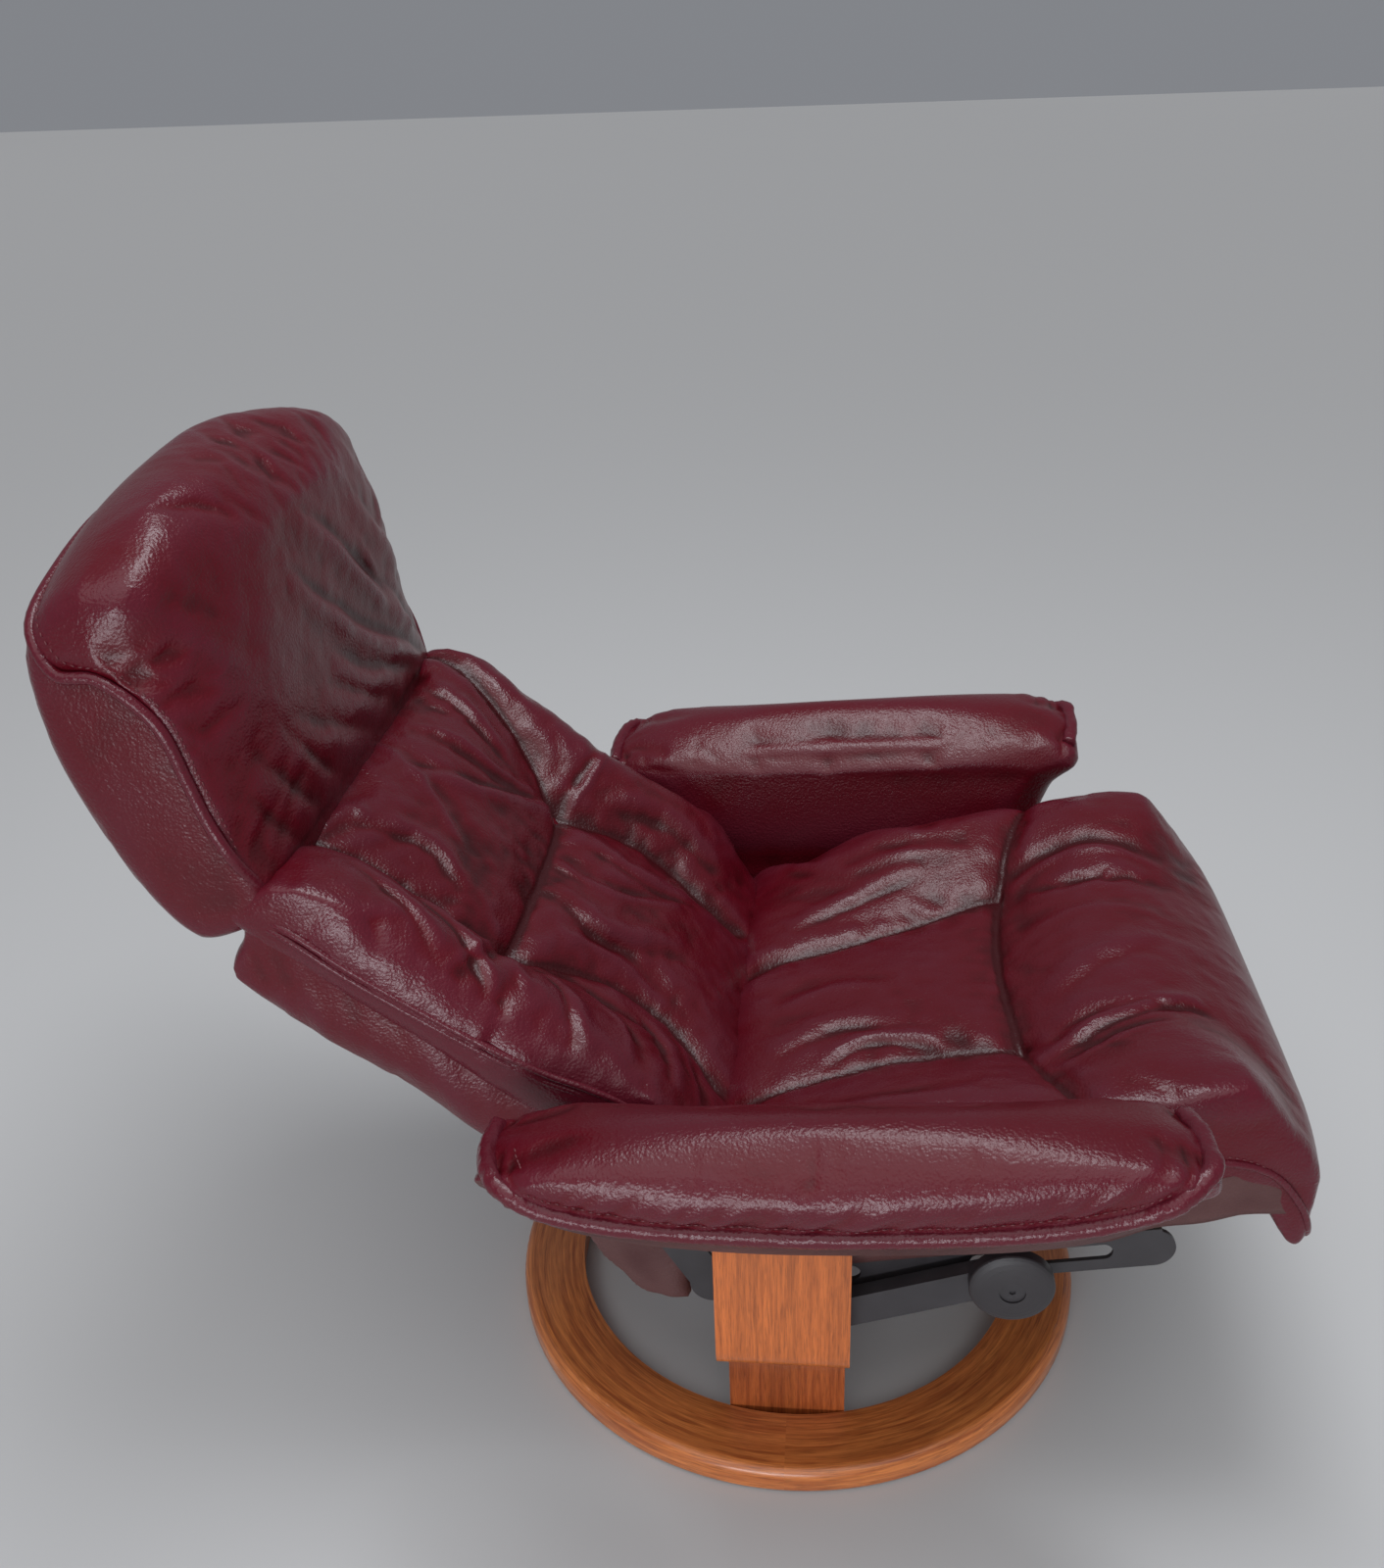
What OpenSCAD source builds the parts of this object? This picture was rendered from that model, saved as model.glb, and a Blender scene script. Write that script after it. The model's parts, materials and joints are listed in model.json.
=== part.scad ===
// Swivel recliner armchair on a laminated ring base.
// Millimetres, +Z up. The origin is on the floor on the swivel axis and the chair faces -Y,
// so the sitter's left is +X. The rest pose is reclined, with the head section tipped forward.

/* [Floor ring] */
// Outside radius of the wooden floor ring
ring_r = 300; // [260:5:340]
// Width of the ring's band
ring_w = 66; // [50:1:80]
// Thickness of the wooden ring
ring_t = 24; // [18:1:32]
// Radius of the ring's outer top edge
ring_edge = 10; // [4:1:14]
// Thickness of the glide strip under the ring
glide_t = 3; // [2:0.5:5]
// Width of the glide strip
glide_w = 40; // [24:1:46]

/* [Arch and swivel] */
// Width of the bowed crosspiece, front to back
arch_w = 111; // [90:1:120]
// Thickness of the crosspiece's laminate
arch_t = 22; // [16:1:26]
// Height of the crosspiece's top
arch_top = 146; // [120:1:170]
// Outside bend radius of the crosspiece
arch_bend = 70; // [40:1:90]
// Height of the crosspiece's feet
foot_t = 10; // [8:1:14]
// How far each foot reaches under the ring
foot_lap = 34; // [20:1:44]
// Radius of the two swivel flanges
flange_r = 52; // [46:1:54]
// Radius of the swivel spindle
spindle_r = 15; // [10:0.5:18]
// Radial running gap of the shafts
run_gap = 0.05; // [0.02:0.01:0.1]

/* [Yoke] */
// Width of the bent yoke at the arms
yoke_w = 117; // [90:1:130]
// Width of the yoke's narrower floor
neck_w = 102; // [90:1:130]
// Thickness of the yoke's laminate
yoke_t = 22; // [16:1:26]
// Outside bend radius of the yoke
yoke_bend = 34; // [28:1:50]
// Height of the yoke's top ends
yoke_top = 362; // [340:1:380]

/* [Arms] */
// Length of an arm pad
arm_len = 572; // [480:1:640]
// Distance from the swivel axis to the pad's front end
arm_front = 336; // [300:1:360]
// Width of an arm pad
arm_w = 118; // [100:1:130]
// How far the arm pad's inner edge stands out from the yoke's inner face
arm_shift = 16; // [8:1:24]
// Height of the arm pad's highest point
arm_top = 514; // [490:1:550]
// Thickness of the board in the arm
board_t = 18; // [12:1:24]
// Length of the board in the arm
board_len = 410; // [340:1:440]

/* [Seat] */
// Width of the seat cushion
seat_w = 524; // [440:1:600]
// How far the seat cushion stands out over each side plate
seat_over = 18; // [0:1:20]
// Length of the seat cushion along its slope
seat_len = 466; // [420:1:500]
// Height of the cushion above the slide line
seat_h = 127; // [110:1:140]
// Slope of the seat's slide, in degrees
slide_a = 10; // [6:1:12]
// Travel of the seat backwards from rest
slide_back = 80; // [50:1:85]
// Travel of the seat forwards from rest
slide_fwd = 25; // [10:1:30]
// Height of the side plate's web
web_h = 40; // [36:1:46]
// Thickness of the seat's steel side plate
plate_t = 4; // [3:0.5:5]
// Radius of the glide studs
stud_r = 5; // [4:0.5:6]
// Radius of the nylon bush on a stud
bush_r = 8; // [7:0.5:9]
// Thickness of the wooden seat frame
frame_t = 12; // [8:1:18]

/* [Knob] */
// Radius of the tension knob
knob_r = 36; // [28:1:42]
// Thickness of the knob at its rim
knob_rim = 9; // [6:0.5:12]
// How far the knob's domed face stands beyond its rim
knob_dome = 7; // [4:0.5:10]
// Distance of the knob from the swivel axis
knob_y = -193; // [-215:1:-180]
// Height of the knob's axis
knob_z = 275; // [265:1:285]

/* [Back] */
// Recline of the back at rest, in degrees from upright
back_a = 52; // [50:1:54]
// Height of the back's hinge
hinge_z = 300; // [295:1:305]
// Distance of the back's hinge behind the swivel axis
hinge_y = 105; // [100:1:110]
// Width of the back
back_w = 524; // [440:1:560]
// Length of the back from the hinge to the head hinge
back_len = 441; // [400:1:480]
// Depth of the back in front of the hinge
back_front = 74; // [66:1:76]
// Depth of the back behind the hinge
back_rear = 34; // [30:1:38]
// Radius of the back's pivot shaft
pivot_r = 8; // [6:0.5:9]
// Radius of the back frame's tubes
tube_r = 11; // [9:0.5:12]

/* [Head section] */
// Lean of the head section at rest, in degrees from upright
head_a = 17; // [14:1:20]
// Height of the head cushion above its hinge
head_h = 349; // [300:1:380]
// Width of the head cushion
head_w = 520; // [440:1:560]
// Radius of the head section's hinge pins
pin_r = 6; // [5:0.5:7]

/* [Hidden] */
$fn = 96;
soft_fn = 24;
wood = [0.62, 0.30, 0.14];
leather = [0.30, 0.05, 0.08];
steel = [0.45, 0.46, 0.48];
black = [0.13, 0.13, 0.14];
webbing = [0.20, 0.18, 0.16];

// The stack across the chair, from the seat's side plate out to the arm
gap = 2;
free = 0.5;
end_step = 0.1;
plate_in = max(seat_w, back_w) / 2 + gap;
plate_out = plate_in + plate_t;
head_t = 3.5;
bar_in = plate_out + head_t + 4.5;
bar_t = 14;
bar_h = 32;
yoke_in = bar_in + bar_t;
yoke_out = yoke_in + yoke_t;
arm_in = yoke_in + arm_shift;
board_in = yoke_in + gap;
board_w = arm_shift + arm_w - 16;

// The stack up the swivel
foot_z = glide_t;
ring_in = ring_r - ring_w;
arch_half = ring_in - 8;
flange_t = 5;
bush_flange = 3;
bush_t = 5;
top_plate_t = 8;
hub_r = spindle_r + bush_t + 6;
hub_low = arch_top - arch_t - 20;
washer_t = 2.5;
nut_t = 14;
spindle_low = hub_low - free - washer_t - nut_t - 2;
yoke_z = arch_top + flange_t + bush_flange + top_plate_t;
bolt_ring = 40;
bolt_r = 4;
bolt_head = 5.5;
nut_h = 7;

// Seat plane: u runs rearwards along the slide line from the knob's axis, w stands up from it
rear_stud_u = 216;
web_u0 = -slide_back - 40;
web_u1 = rear_stud_u + slide_fwd + 20;
deck_w = web_h / 2 + frame_t;
webbing_t = 2;
flange_w = 24;
frame_u0 = -140;
frame_u1 = 205;
cushion_u1 = 190;
hinge_u = (hinge_y - knob_y) * cos(slide_a) - (hinge_z - knob_z) * sin(slide_a);
hinge_w = (hinge_y - knob_y) * sin(slide_a) + (hinge_z - knob_z) * cos(slide_a);
cushion_low = deck_w + webbing_t;

// Back and head: local +Z runs up the section and local -Y is its front
back_mid = (back_rear - back_front) / 2;
head_clear = (back_front + back_rear) / 2 + 2;
back_top = back_len - 17;
shell_t = 7;
tube_x = back_w / 2 - 26;
ear_x = 150;
ear_t = 6;
eye_t = 8;
pin_washer_t = 2;
arm_mid = arm_in + arm_w / 2;
board_front = arm_front - 70;

module along_x(x0, x1) {
    translate([x0, 0, 0]) rotate([90, 0, 90]) linear_extrude(x1 - x0) children();
}

module x_rod(r, x0, x1) {
    translate([x0, 0, 0]) rotate([0, 90, 0]) cylinder(r = r, h = x1 - x0);
}

module both_sides() {
    for (side = [0, 1]) mirror([side, 0, 0]) children();
}

module in_seat() {
    translate([0, knob_y, knob_z]) rotate([-slide_a, 0, 0]) children();
}

module in_back() {
    translate([0, hinge_y, hinge_z]) rotate([-back_a, 0, 0]) children();
}

module in_head() {
    in_back() translate([0, back_mid, back_len]) rotate([back_a - head_a, 0, 0]) children();
}

// A flat link between two points: its round ends stand just proud of its straight sides
module link(p, q, r) {
    d = q - p;
    side = r - end_step;
    for (end = [p, q]) translate(end) circle(r);
    translate(p) rotate(atan2(d[1], d[0])) translate([0, -side]) square([norm(d), 2 * side]);
}

// A soft slab: each point is [y, z, radius] of an edge roll that runs across the chair
module soft_slab(rolls, half_w) {
    hull() for (roll = rolls, side = [-1, 1])
        translate([side * (half_w - roll[2]), roll[0], roll[1]]) sphere(roll[2], $fn = soft_fn);
}

module hex(r, h) {
    cylinder(r = r, h = h, $fn = 6);
}

// Floor ring and crosspiece

module glide_ring() {
    color(black) rotate_extrude()
        translate([ring_r - ring_w / 2 - glide_w / 2, 0]) square([glide_w, glide_t]);
}

module ring_section() {
    translate([ring_in, foot_z]) square([ring_w - ring_edge, ring_t]);
    translate([ring_in, foot_z]) square([ring_w, ring_t - ring_edge]);
    translate([ring_r - ring_edge, foot_z + ring_t - ring_edge]) circle(ring_edge);
}

module foot_screw_places() {
    both_sides() for (y = [-1, 1])
        translate([ring_in + foot_lap / 2 - 6, y * arch_w / 4, foot_z]) children();
}

module base_ring() {
    color(wood) difference() {
        rotate_extrude() ring_section();
        translate([0, 0, foot_z + foot_t / 2])
            cube([2 * (ring_in + foot_lap), arch_w, foot_t], center = true);
        foot_screw_places() cylinder(r = 2.5, h = ring_t - 5);
    }
}

// A block with rounded top corners
module arch_block(half, low, top, r) {
    translate([-half, low]) square([2 * half, top - r - low]);
    translate([r - half, low]) square([2 * (half - r), top - low]);
    for (s = [-1, 1]) translate([s * (half - r), top - r]) circle(r);
}

module socket_places() {
    for (a = [45:90:315]) rotate(a) translate([bolt_ring, 0, 0]) children();
}

module base_arch() {
    color(wood) difference() {
        rotate([90, 0, 0]) linear_extrude(arch_w, center = true) {
            difference() {
                arch_block(arch_half, foot_z, arch_top, arch_bend);
                arch_block(arch_half - arch_t, foot_z - 1, arch_top - arch_t, arch_bend - arch_t);
            }
            for (side = [0, 1]) mirror([side, 0])
                translate([arch_half - 1, foot_z]) square([ring_in + foot_lap - arch_half + 1, foot_t]);
        }
        cylinder(r = hub_r, h = arch_top + 1);
        socket_places() cylinder(r = bolt_r, h = arch_top + 1);
        foot_screw_places() {
            cylinder(r = 2.5, h = foot_t + 1);
            cylinder(r1 = 5.5, r2 = 2.5, h = 3);
        }
    }
}

module arch_screws() {
    color(steel) foot_screw_places() {
        cylinder(r = 2.5, h = ring_t - 5);
        cylinder(r1 = 5.5, r2 = 2.5, h = 3);
    }
}

// Swivel

module swivel_socket() {
    color(steel) difference() {
        union() {
            translate([0, 0, arch_top]) cylinder(r = flange_r, h = flange_t);
            translate([0, 0, hub_low]) cylinder(r = hub_r, h = arch_top - hub_low + 1);
        }
        translate([0, 0, hub_low - 1]) cylinder(r = spindle_r + bush_t, h = arch_top);
        socket_places() {
            cylinder(r = bolt_r, h = arch_top + flange_t + 1);
            translate([0, 0, arch_top + flange_t - 4]) cylinder(r1 = bolt_r, r2 = bolt_r + 4, h = 4);
        }
    }
}

module socket_bolts() {
    bolt_low = arch_top - arch_t - nut_h - 2;
    color(steel) socket_places() {
        translate([0, 0, bolt_low]) cylinder(r = bolt_r, h = arch_top + flange_t - bolt_low);
        translate([0, 0, arch_top + flange_t - 4]) cylinder(r1 = bolt_r, r2 = bolt_r + 4, h = 4);
    }
}

module socket_nuts() {
    color(steel) socket_places() translate([0, 0, arch_top - arch_t - nut_h]) difference() {
        hex(7.5, nut_h);
        translate([0, 0, -1]) cylinder(r = bolt_r, h = nut_h + 2);
    }
}

module swivel_bush() {
    color(black) difference() {
        union() {
            translate([0, 0, hub_low]) cylinder(r = spindle_r + bush_t, h = arch_top + flange_t - hub_low);
            translate([0, 0, arch_top + flange_t]) cylinder(r = flange_r - 20, h = bush_flange);
        }
        translate([0, 0, hub_low - 1]) cylinder(r = spindle_r + run_gap, h = arch_top);
    }
}

module yoke_bolt_places() {
    for (a = [0:90:270]) rotate(a) translate([bolt_ring, 0, 0]) children();
}

module swivel_spindle() {
    color(steel) difference() {
        union() {
            translate([0, 0, yoke_z - top_plate_t]) cylinder(r = flange_r, h = top_plate_t);
            translate([0, 0, spindle_low]) cylinder(r = spindle_r, h = yoke_z - spindle_low);
        }
        yoke_bolt_places() translate([0, 0, yoke_z - top_plate_t - 1])
            cylinder(r = bolt_r, h = top_plate_t + 2);
    }
}

module spindle_washer() {
    color(steel) translate([0, 0, hub_low - free - washer_t]) difference() {
        cylinder(r = spindle_r + 12, h = washer_t);
        translate([0, 0, -1]) cylinder(r = spindle_r, h = washer_t + 2);
    }
}

module spindle_nut() {
    color(steel) translate([0, 0, hub_low - free - washer_t - nut_t]) difference() {
        hex(spindle_r + 10, nut_t);
        translate([0, 0, -1]) cylinder(r = spindle_r, h = nut_t + 2);
    }
}

// Yoke

// A block with rounded bottom corners, open upwards
module yoke_block(half, low, top, r) {
    translate([-half, low + r]) square([2 * half, top - low - r]);
    translate([r - half, low]) square([2 * (half - r), top - low]);
    for (s = [-1, 1]) translate([s * (half - r), low + r]) circle(r);
}

// The yoke's plan: a narrow floor that widens to the arms
module yoke_plan() {
    wide = yoke_out - yoke_bend + 8;
    quarter = [[wide - 40, neck_w / 2], [wide, yoke_w / 2], [yoke_out + 1, yoke_w / 2]];
    turned = [for (k = [2:-1:0]) quarter[k]];
    polygon(concat(
        [for (p = quarter) p], [for (p = turned) [p[0], -p[1]]],
        [for (p = quarter) [-p[0], -p[1]]], [for (p = turned) [-p[0], p[1]]]
    ));
}

arm_bolt_r = 3;
arm_bolt_deep = 45;
arm_bolt_sink = 7;
barrel_r = 5;
barrel_deep = 30;
barrel_stop = 4;
stud_bite = 14;

module arm_bolt_places() {
    both_sides() for (y = [-1, 1]) translate([yoke_in + yoke_t / 2, y * yoke_w / 4, 0]) children();
}

module yoke() {
    color(wood) difference() {
        intersection() {
            rotate([90, 0, 0]) linear_extrude(yoke_w, center = true) difference() {
                yoke_block(yoke_out, yoke_z, yoke_top, yoke_bend);
                yoke_block(yoke_in, yoke_z + yoke_t, yoke_top + 1, yoke_bend - yoke_t);
            }
            translate([0, 0, yoke_z]) linear_extrude(yoke_top - yoke_z) yoke_plan();
        }
        yoke_bolt_places() translate([0, 0, yoke_z - 1]) cylinder(r = bolt_r, h = yoke_t + 2);
        arm_bolt_places() {
            translate([0, 0, yoke_top - arm_bolt_deep]) cylinder(r = arm_bolt_r, h = arm_bolt_deep + 1);
            translate([0, 0, yoke_top - barrel_deep]) x_rod(barrel_r, -yoke_t / 2 - 1, yoke_t / 2 - barrel_stop);
        }
        both_sides() bar_fixings() x_rod(stud_r, bar_in, yoke_in + stud_bite);
    }
}

module yoke_bolts() {
    color(steel) yoke_bolt_places() {
        translate([0, 0, yoke_z - top_plate_t]) cylinder(r = bolt_r, h = top_plate_t + yoke_t);
        translate([0, 0, yoke_z + yoke_t]) cylinder(r = 7.5, h = bolt_head);
    }
}

// Arms

module arm_board() {
    r = 20;
    low = -board_front;
    high = board_len - board_front;
    color(black) translate([0, 0, yoke_top]) difference() {
        linear_extrude(board_t) {
            translate([board_in, low + r]) square([board_w, board_len - 2 * r]);
            translate([board_in + r, low]) square([board_w - 2 * r, board_len]);
            for (x = [board_in + r, board_in + board_w - r], y = [low + r, high - r])
                translate([x, y]) circle(r);
        }
        translate([0, 0, -yoke_top]) arm_bolt_places() {
            cylinder(r = arm_bolt_r, h = yoke_top + board_t + 1);
            translate([0, 0, yoke_top + board_t - arm_bolt_sink])
                cylinder(r = arm_bolt_r + 4, h = arm_bolt_sink + 1);
        }
    }
}

module arm_bolts() {
    color(steel) arm_bolt_places() {
        translate([0, 0, yoke_top - arm_bolt_deep])
            cylinder(r = arm_bolt_r, h = arm_bolt_deep + board_t - arm_bolt_sink);
        translate([0, 0, yoke_top + board_t - arm_bolt_sink]) cylinder(r = arm_bolt_r + 4, h = 5);
    }
}

module barrel_nuts() {
    color(steel) arm_bolt_places() translate([0, 0, yoke_top - barrel_deep]) difference() {
        x_rod(barrel_r, -yoke_t / 2, yoke_t / 2 - barrel_stop);
        translate([0, 0, -barrel_r - 1]) cylinder(r = arm_bolt_r, h = 2 * barrel_r + 2);
    }
}

module arm_pad() {
    low = yoke_top + board_t;
    rear = arm_len - arm_front;
    front = -arm_front;
    half = arm_w / 2;
    rolls = [
        [front + 40, arm_top - 56, 40], [front + 85, arm_top - 42, 42],
        [-60, arm_top - 42, 42], [rear - 110, arm_top - 50, 40], [rear - 32, arm_top - 66, 32]
    ];
    color(leather) translate([arm_mid, 0, 0]) hull() {
        for (roll = rolls, side = [-1, 1])
            translate([side * (half - roll[2]), roll[0], roll[1]]) sphere(roll[2], $fn = soft_fn);
        translate([-half + 8, -board_front + 10, low]) cube([arm_w - 16, board_len - 30, 1]);
    }
}

// Side bars, knobs and glide studs

bar_bend = [-50, 224];
bar_tail = [48, 242];
bar_bolt_yz = [bar_bend + 0.25 * (bar_tail - bar_bend), bar_tail];
rear_stud = [knob_y + rear_stud_u * cos(slide_a), knob_z - rear_stud_u * sin(slide_a)];

module at_yz(p) {
    translate([0, p[0], p[1]]) children();
}

module bar_fixings() {
    for (p = concat(bar_bolt_yz, [rear_stud])) at_yz(p) children();
}

module side_bar() {
    color(black) difference() {
        along_x(bar_in, yoke_in) {
            link([knob_y, knob_z], bar_bend, bar_h / 2);
            link(bar_bend, bar_tail, bar_h / 2 - 3);
        }
        at_yz([knob_y, knob_z]) x_rod(stud_r, bar_in - 1, yoke_in + 1);
        bar_fixings() x_rod(stud_r, bar_in - 1, yoke_in + 1);
    }
}

module bar_bolts() {
    color(steel) both_sides() for (p = bar_bolt_yz) at_yz(p) {
        x_rod(stud_r, bar_in, yoke_in + stud_bite);
        x_rod(stud_r + 3, bar_in - head_t, bar_in);
    }
}

knob_in = yoke_in + 1;
knob_out = knob_in + knob_rim + knob_dome;

module glide_studs() {
    ends = [[[knob_y, knob_z], knob_out - knob_socket], [rear_stud, yoke_in + stud_bite]];
    color(steel) both_sides() for (stud = ends) at_yz(stud[0]) {
        x_rod(stud_r, plate_in - free - head_t, stud[1]);
        x_rod(bush_r + 3, plate_in - free - head_t, plate_in - free);
    }
}

module glide_bushes() {
    color("ivory") both_sides() for (p = [[knob_y, knob_z], rear_stud]) at_yz(p) difference() {
        x_rod(bush_r, plate_in - free, bar_in);
        x_rod(stud_r, plate_in - 1, bar_in + 1);
    }
}

knob_socket_r = 11;
knob_socket = 6;

// Half of the knob's section: a rim with a domed face
module knob_section() {
    steps = 8;
    polygon(concat([[0, 0], [knob_r, 0]], [
        for (k = [0:steps]) [knob_r * cos(90 * k / steps), knob_rim + knob_dome * sin(90 * k / steps)]
    ]));
}

module knob() {
    color(black) at_yz([knob_y, knob_z]) difference() {
        translate([knob_in, 0, 0]) rotate([0, 90, 0]) rotate_extrude() knob_section();
        x_rod(stud_r + run_gap, knob_in - 1, knob_out + 1);
        x_rod(knob_socket_r, knob_out - knob_socket, knob_out + 1);
    }
}

module knob_screw() {
    color(steel) at_yz([knob_y, knob_z]) difference() {
        x_rod(knob_socket_r, knob_out - knob_socket, knob_out - 2);
        translate([knob_out - 3.5, 0, 0]) rotate([0, 90, 0]) hex(3, 3);
    }
}

// Seat

frame_screw_r = 2.5;
rail_w = 48;
rail_end = 42;

module slot(u) {
    r = bush_r + run_gap;
    for (end = [u - slide_back, u + slide_fwd]) translate([end, 0]) circle(r);
    translate([u - slide_back, -r]) square([slide_back + slide_fwd, 2 * r]);
}

module seat_plate() {
    color(black) {
        in_seat() difference() {
            along_x(plate_in, plate_out) difference() {
                union() {
                    link([web_u0, 0], [web_u1, 0], web_h / 2);
                    link([web_u1, 0], [hinge_u, hinge_w], web_h / 2 - 3);
                }
                slot(0);
                slot(rear_stud_u);
            }
            translate([0, hinge_u, hinge_w]) x_rod(pivot_r, plate_in - 1, plate_out + 1);
            seat_tube_places() x_rod(bush_r, plate_in - 1, plate_out + 1);
        }
        in_seat() difference() {
            translate([plate_in - flange_w, frame_u0 + 10, web_h / 2 - plate_t])
                cube([flange_w + plate_t, frame_u1 - frame_u0 - 20, plate_t]);
            frame_screw_places() cylinder(r = frame_screw_r, h = 2 * deck_w);
        }
    }
}

module seat_tube_places() {
    for (u = [web_u0 + 2, 82]) translate([0, u, 0]) children();
}

module seat_tubes() {
    color(black) in_seat() seat_tube_places() x_rod(bush_r, -plate_out, plate_out);
}

module frame_screw_places() {
    for (u = [-100, 0, 90, 170]) translate([plate_in - 13, u, 0]) children();
}

module seat_frame() {
    half = plate_in - gap;
    color("burlywood") in_seat() difference() {
        translate([-half, frame_u0, web_h / 2]) cube([2 * half, frame_u1 - frame_u0, frame_t]);
        translate([rail_w - half, frame_u0 + rail_end, 0])
            cube([2 * (half - rail_w), frame_u1 - frame_u0 - 2 * rail_end, 100]);
        both_sides() frame_screw_places() cylinder(r = frame_screw_r, h = 2 * deck_w);
    }
}

module frame_screws() {
    color(steel) in_seat() both_sides() frame_screw_places() {
        translate([0, 0, web_h / 2 - plate_t - 3]) cylinder(r = 2 * frame_screw_r, h = 3);
        translate([0, 0, web_h / 2 - plate_t]) cylinder(r = frame_screw_r, h = plate_t + frame_t);
    }
}

module seat_webbing() {
    color(webbing) in_seat() for (k = [0:4])
        translate([30 - plate_in, frame_u0 + 52 + 50 * k, deck_w]) cube([2 * plate_in - 60, 38, webbing_t]);
}

module seat_cushion() {
    front = cushion_u1 - seat_len;
    color(leather) in_seat() {
        soft_slab([
            [cushion_u1 - 14, cushion_low + 14, 14], [cushion_u1 - 30, seat_h - 30, 30],
            [front + 80, seat_h - 42, 42], [front + 40, cushion_low + 40, 40]
        ], seat_w / 2 + seat_over);
        soft_slab([
            [front + 60, seat_h - 60, 40], [front + 34, seat_h - 70, 34],
            [front + 42, 8, 14], [front + 90, 36, 14]
        ], seat_w / 2);
    }
}

module seat_skirt() {
    color(leather) hull() for (p = [[168, 262], [150, 222], [112, 190], [98, 232]], side = [-1, 1])
        translate([side * (back_w / 2 - 20), p[0], p[1]]) sphere(9, $fn = soft_fn);
}

// Back

module pivot_shaft() {
    color(steel) at_yz([hinge_y, hinge_z]) x_rod(pivot_r, -plate_out - 4, plate_out + 4);
}

module shaft_clips() {
    color(steel) both_sides() at_yz([hinge_y, hinge_z]) difference() {
        x_rod(pivot_r + 4, plate_out + 0.2, plate_out + 2.2);
        x_rod(pivot_r, plate_out, plate_out + 3);
    }
}

module back_frame() {
    head_axis = [back_mid, back_len];
    color(black) in_back() difference() {
        union() {
            both_sides() {
                x_rod(pivot_r + 8, tube_x - 12, tube_x + 12);
                translate([tube_x, 0, 0]) cylinder(r = tube_r, h = back_len - 36);
                along_x(ear_x - ear_t / 2, ear_x + ear_t / 2) {
                    link([0, back_len - 36], [0, back_len], 12);
                    link([0, back_len], head_axis, 12);
                }
            }
            for (z = [70, back_len - 36]) translate([0, 0, z]) x_rod(tube_r - 2, -tube_x, tube_x);
        }
        x_rod(pivot_r + run_gap, -plate_out, plate_out);
        at_yz(head_axis) x_rod(pin_r, -plate_out, plate_out);
    }
}

module back_webbing() {
    color(webbing) in_back() for (k = [0:6])
        translate([-tube_x, -tube_r - webbing_t, 100 + 42 * k]) cube([2 * tube_x, webbing_t, 32]);
}

// The shell's plan: a tray with rounded rear corners, open to the front
module shell_plan(half, rear, r) {
    translate([-half, back_mid + 4]) square([2 * half, rear - r - back_mid - 4]);
    translate([r - half, back_mid + 4]) square([2 * (half - r), rear - back_mid - 4]);
    for (s = [-1, 1]) translate([s * (half - r), rear - r]) circle(r);
}

module back_shell() {
    color(leather) in_back() difference() {
        translate([0, 0, 24]) linear_extrude(back_top - 24) shell_plan(back_w / 2, back_rear, 20);
        translate([0, -0.01, 0]) linear_extrude(back_top - shell_t)
            shell_plan(back_w / 2 - shell_t, back_rear - shell_t, 20 - shell_t);
        both_sides() translate([ear_x - 4, back_mid, back_top - shell_t - 1]) cube([8, 34, shell_t + 2]);
    }
}

module back_cushion() {
    color(leather) in_back() difference() {
        soft_slab([
            [-back_front + 24, 0, 24], [back_mid - 12, -14, 14],
            [-back_front + 24, back_top - 24, 24], [back_mid - 10, back_top - 14, 14]
        ], back_w / 2);
        translate([-back_w, back_mid + 4, -100]) cube([2 * back_w, 100, 2 * back_len]);
    }
}

// Head section

module pin_part(r, x0, x1) {
    in_back() at_yz([back_mid, back_len]) x_rod(r, x0, x1);
}

ear_out = ear_x + ear_t / 2;

module head_pins() {
    color(steel) both_sides() {
        pin_part(pin_r, ear_x - 7, ear_out + pin_washer_t + eye_t + 1);
        pin_part(pin_r + 3, ear_x - 10, ear_x - ear_t / 2);
        pin_part(pin_r + 3, ear_out + pin_washer_t + eye_t + 0.3, ear_out + pin_washer_t + eye_t + 3);
    }
}

module head_washers() {
    color("ivory") both_sides() difference() {
        pin_part(pin_r + 4, ear_out + 0.1, ear_out + pin_washer_t - 0.1);
        pin_part(pin_r, ear_out - 1, ear_out + pin_washer_t + 1);
    }
}

module head_frame() {
    eye_x = ear_out + pin_washer_t;
    color(black) in_head() difference() {
        union() {
            both_sides() {
                x_rod(12, eye_x, eye_x + eye_t);
                along_x(eye_x, eye_x + eye_t) link([0, 0], [0, 110], 10);
            }
            translate([-eye_x - eye_t, -2, 70]) cube([2 * (eye_x + eye_t), 4, head_h - 140]);
        }
        x_rod(pin_r + run_gap, -plate_out, plate_out);
    }
}

module head_cushion() {
    eye_x = ear_out + pin_washer_t;
    color(leather) in_head() difference() {
        soft_slab([
            [-14, 62, 30], [40, 45, 28], [38, head_h - 74, 32], [-50, head_h - 45, 45]
        ], head_w / 2);
        x_rod(head_clear, -head_w, head_w);
        translate([-eye_x - eye_t, -2, 50]) cube([2 * (eye_x + eye_t), 4, head_h - 120]);
        both_sides() translate([eye_x, -10, 0]) cube([eye_t, 20, 120]);
    }
}

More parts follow.
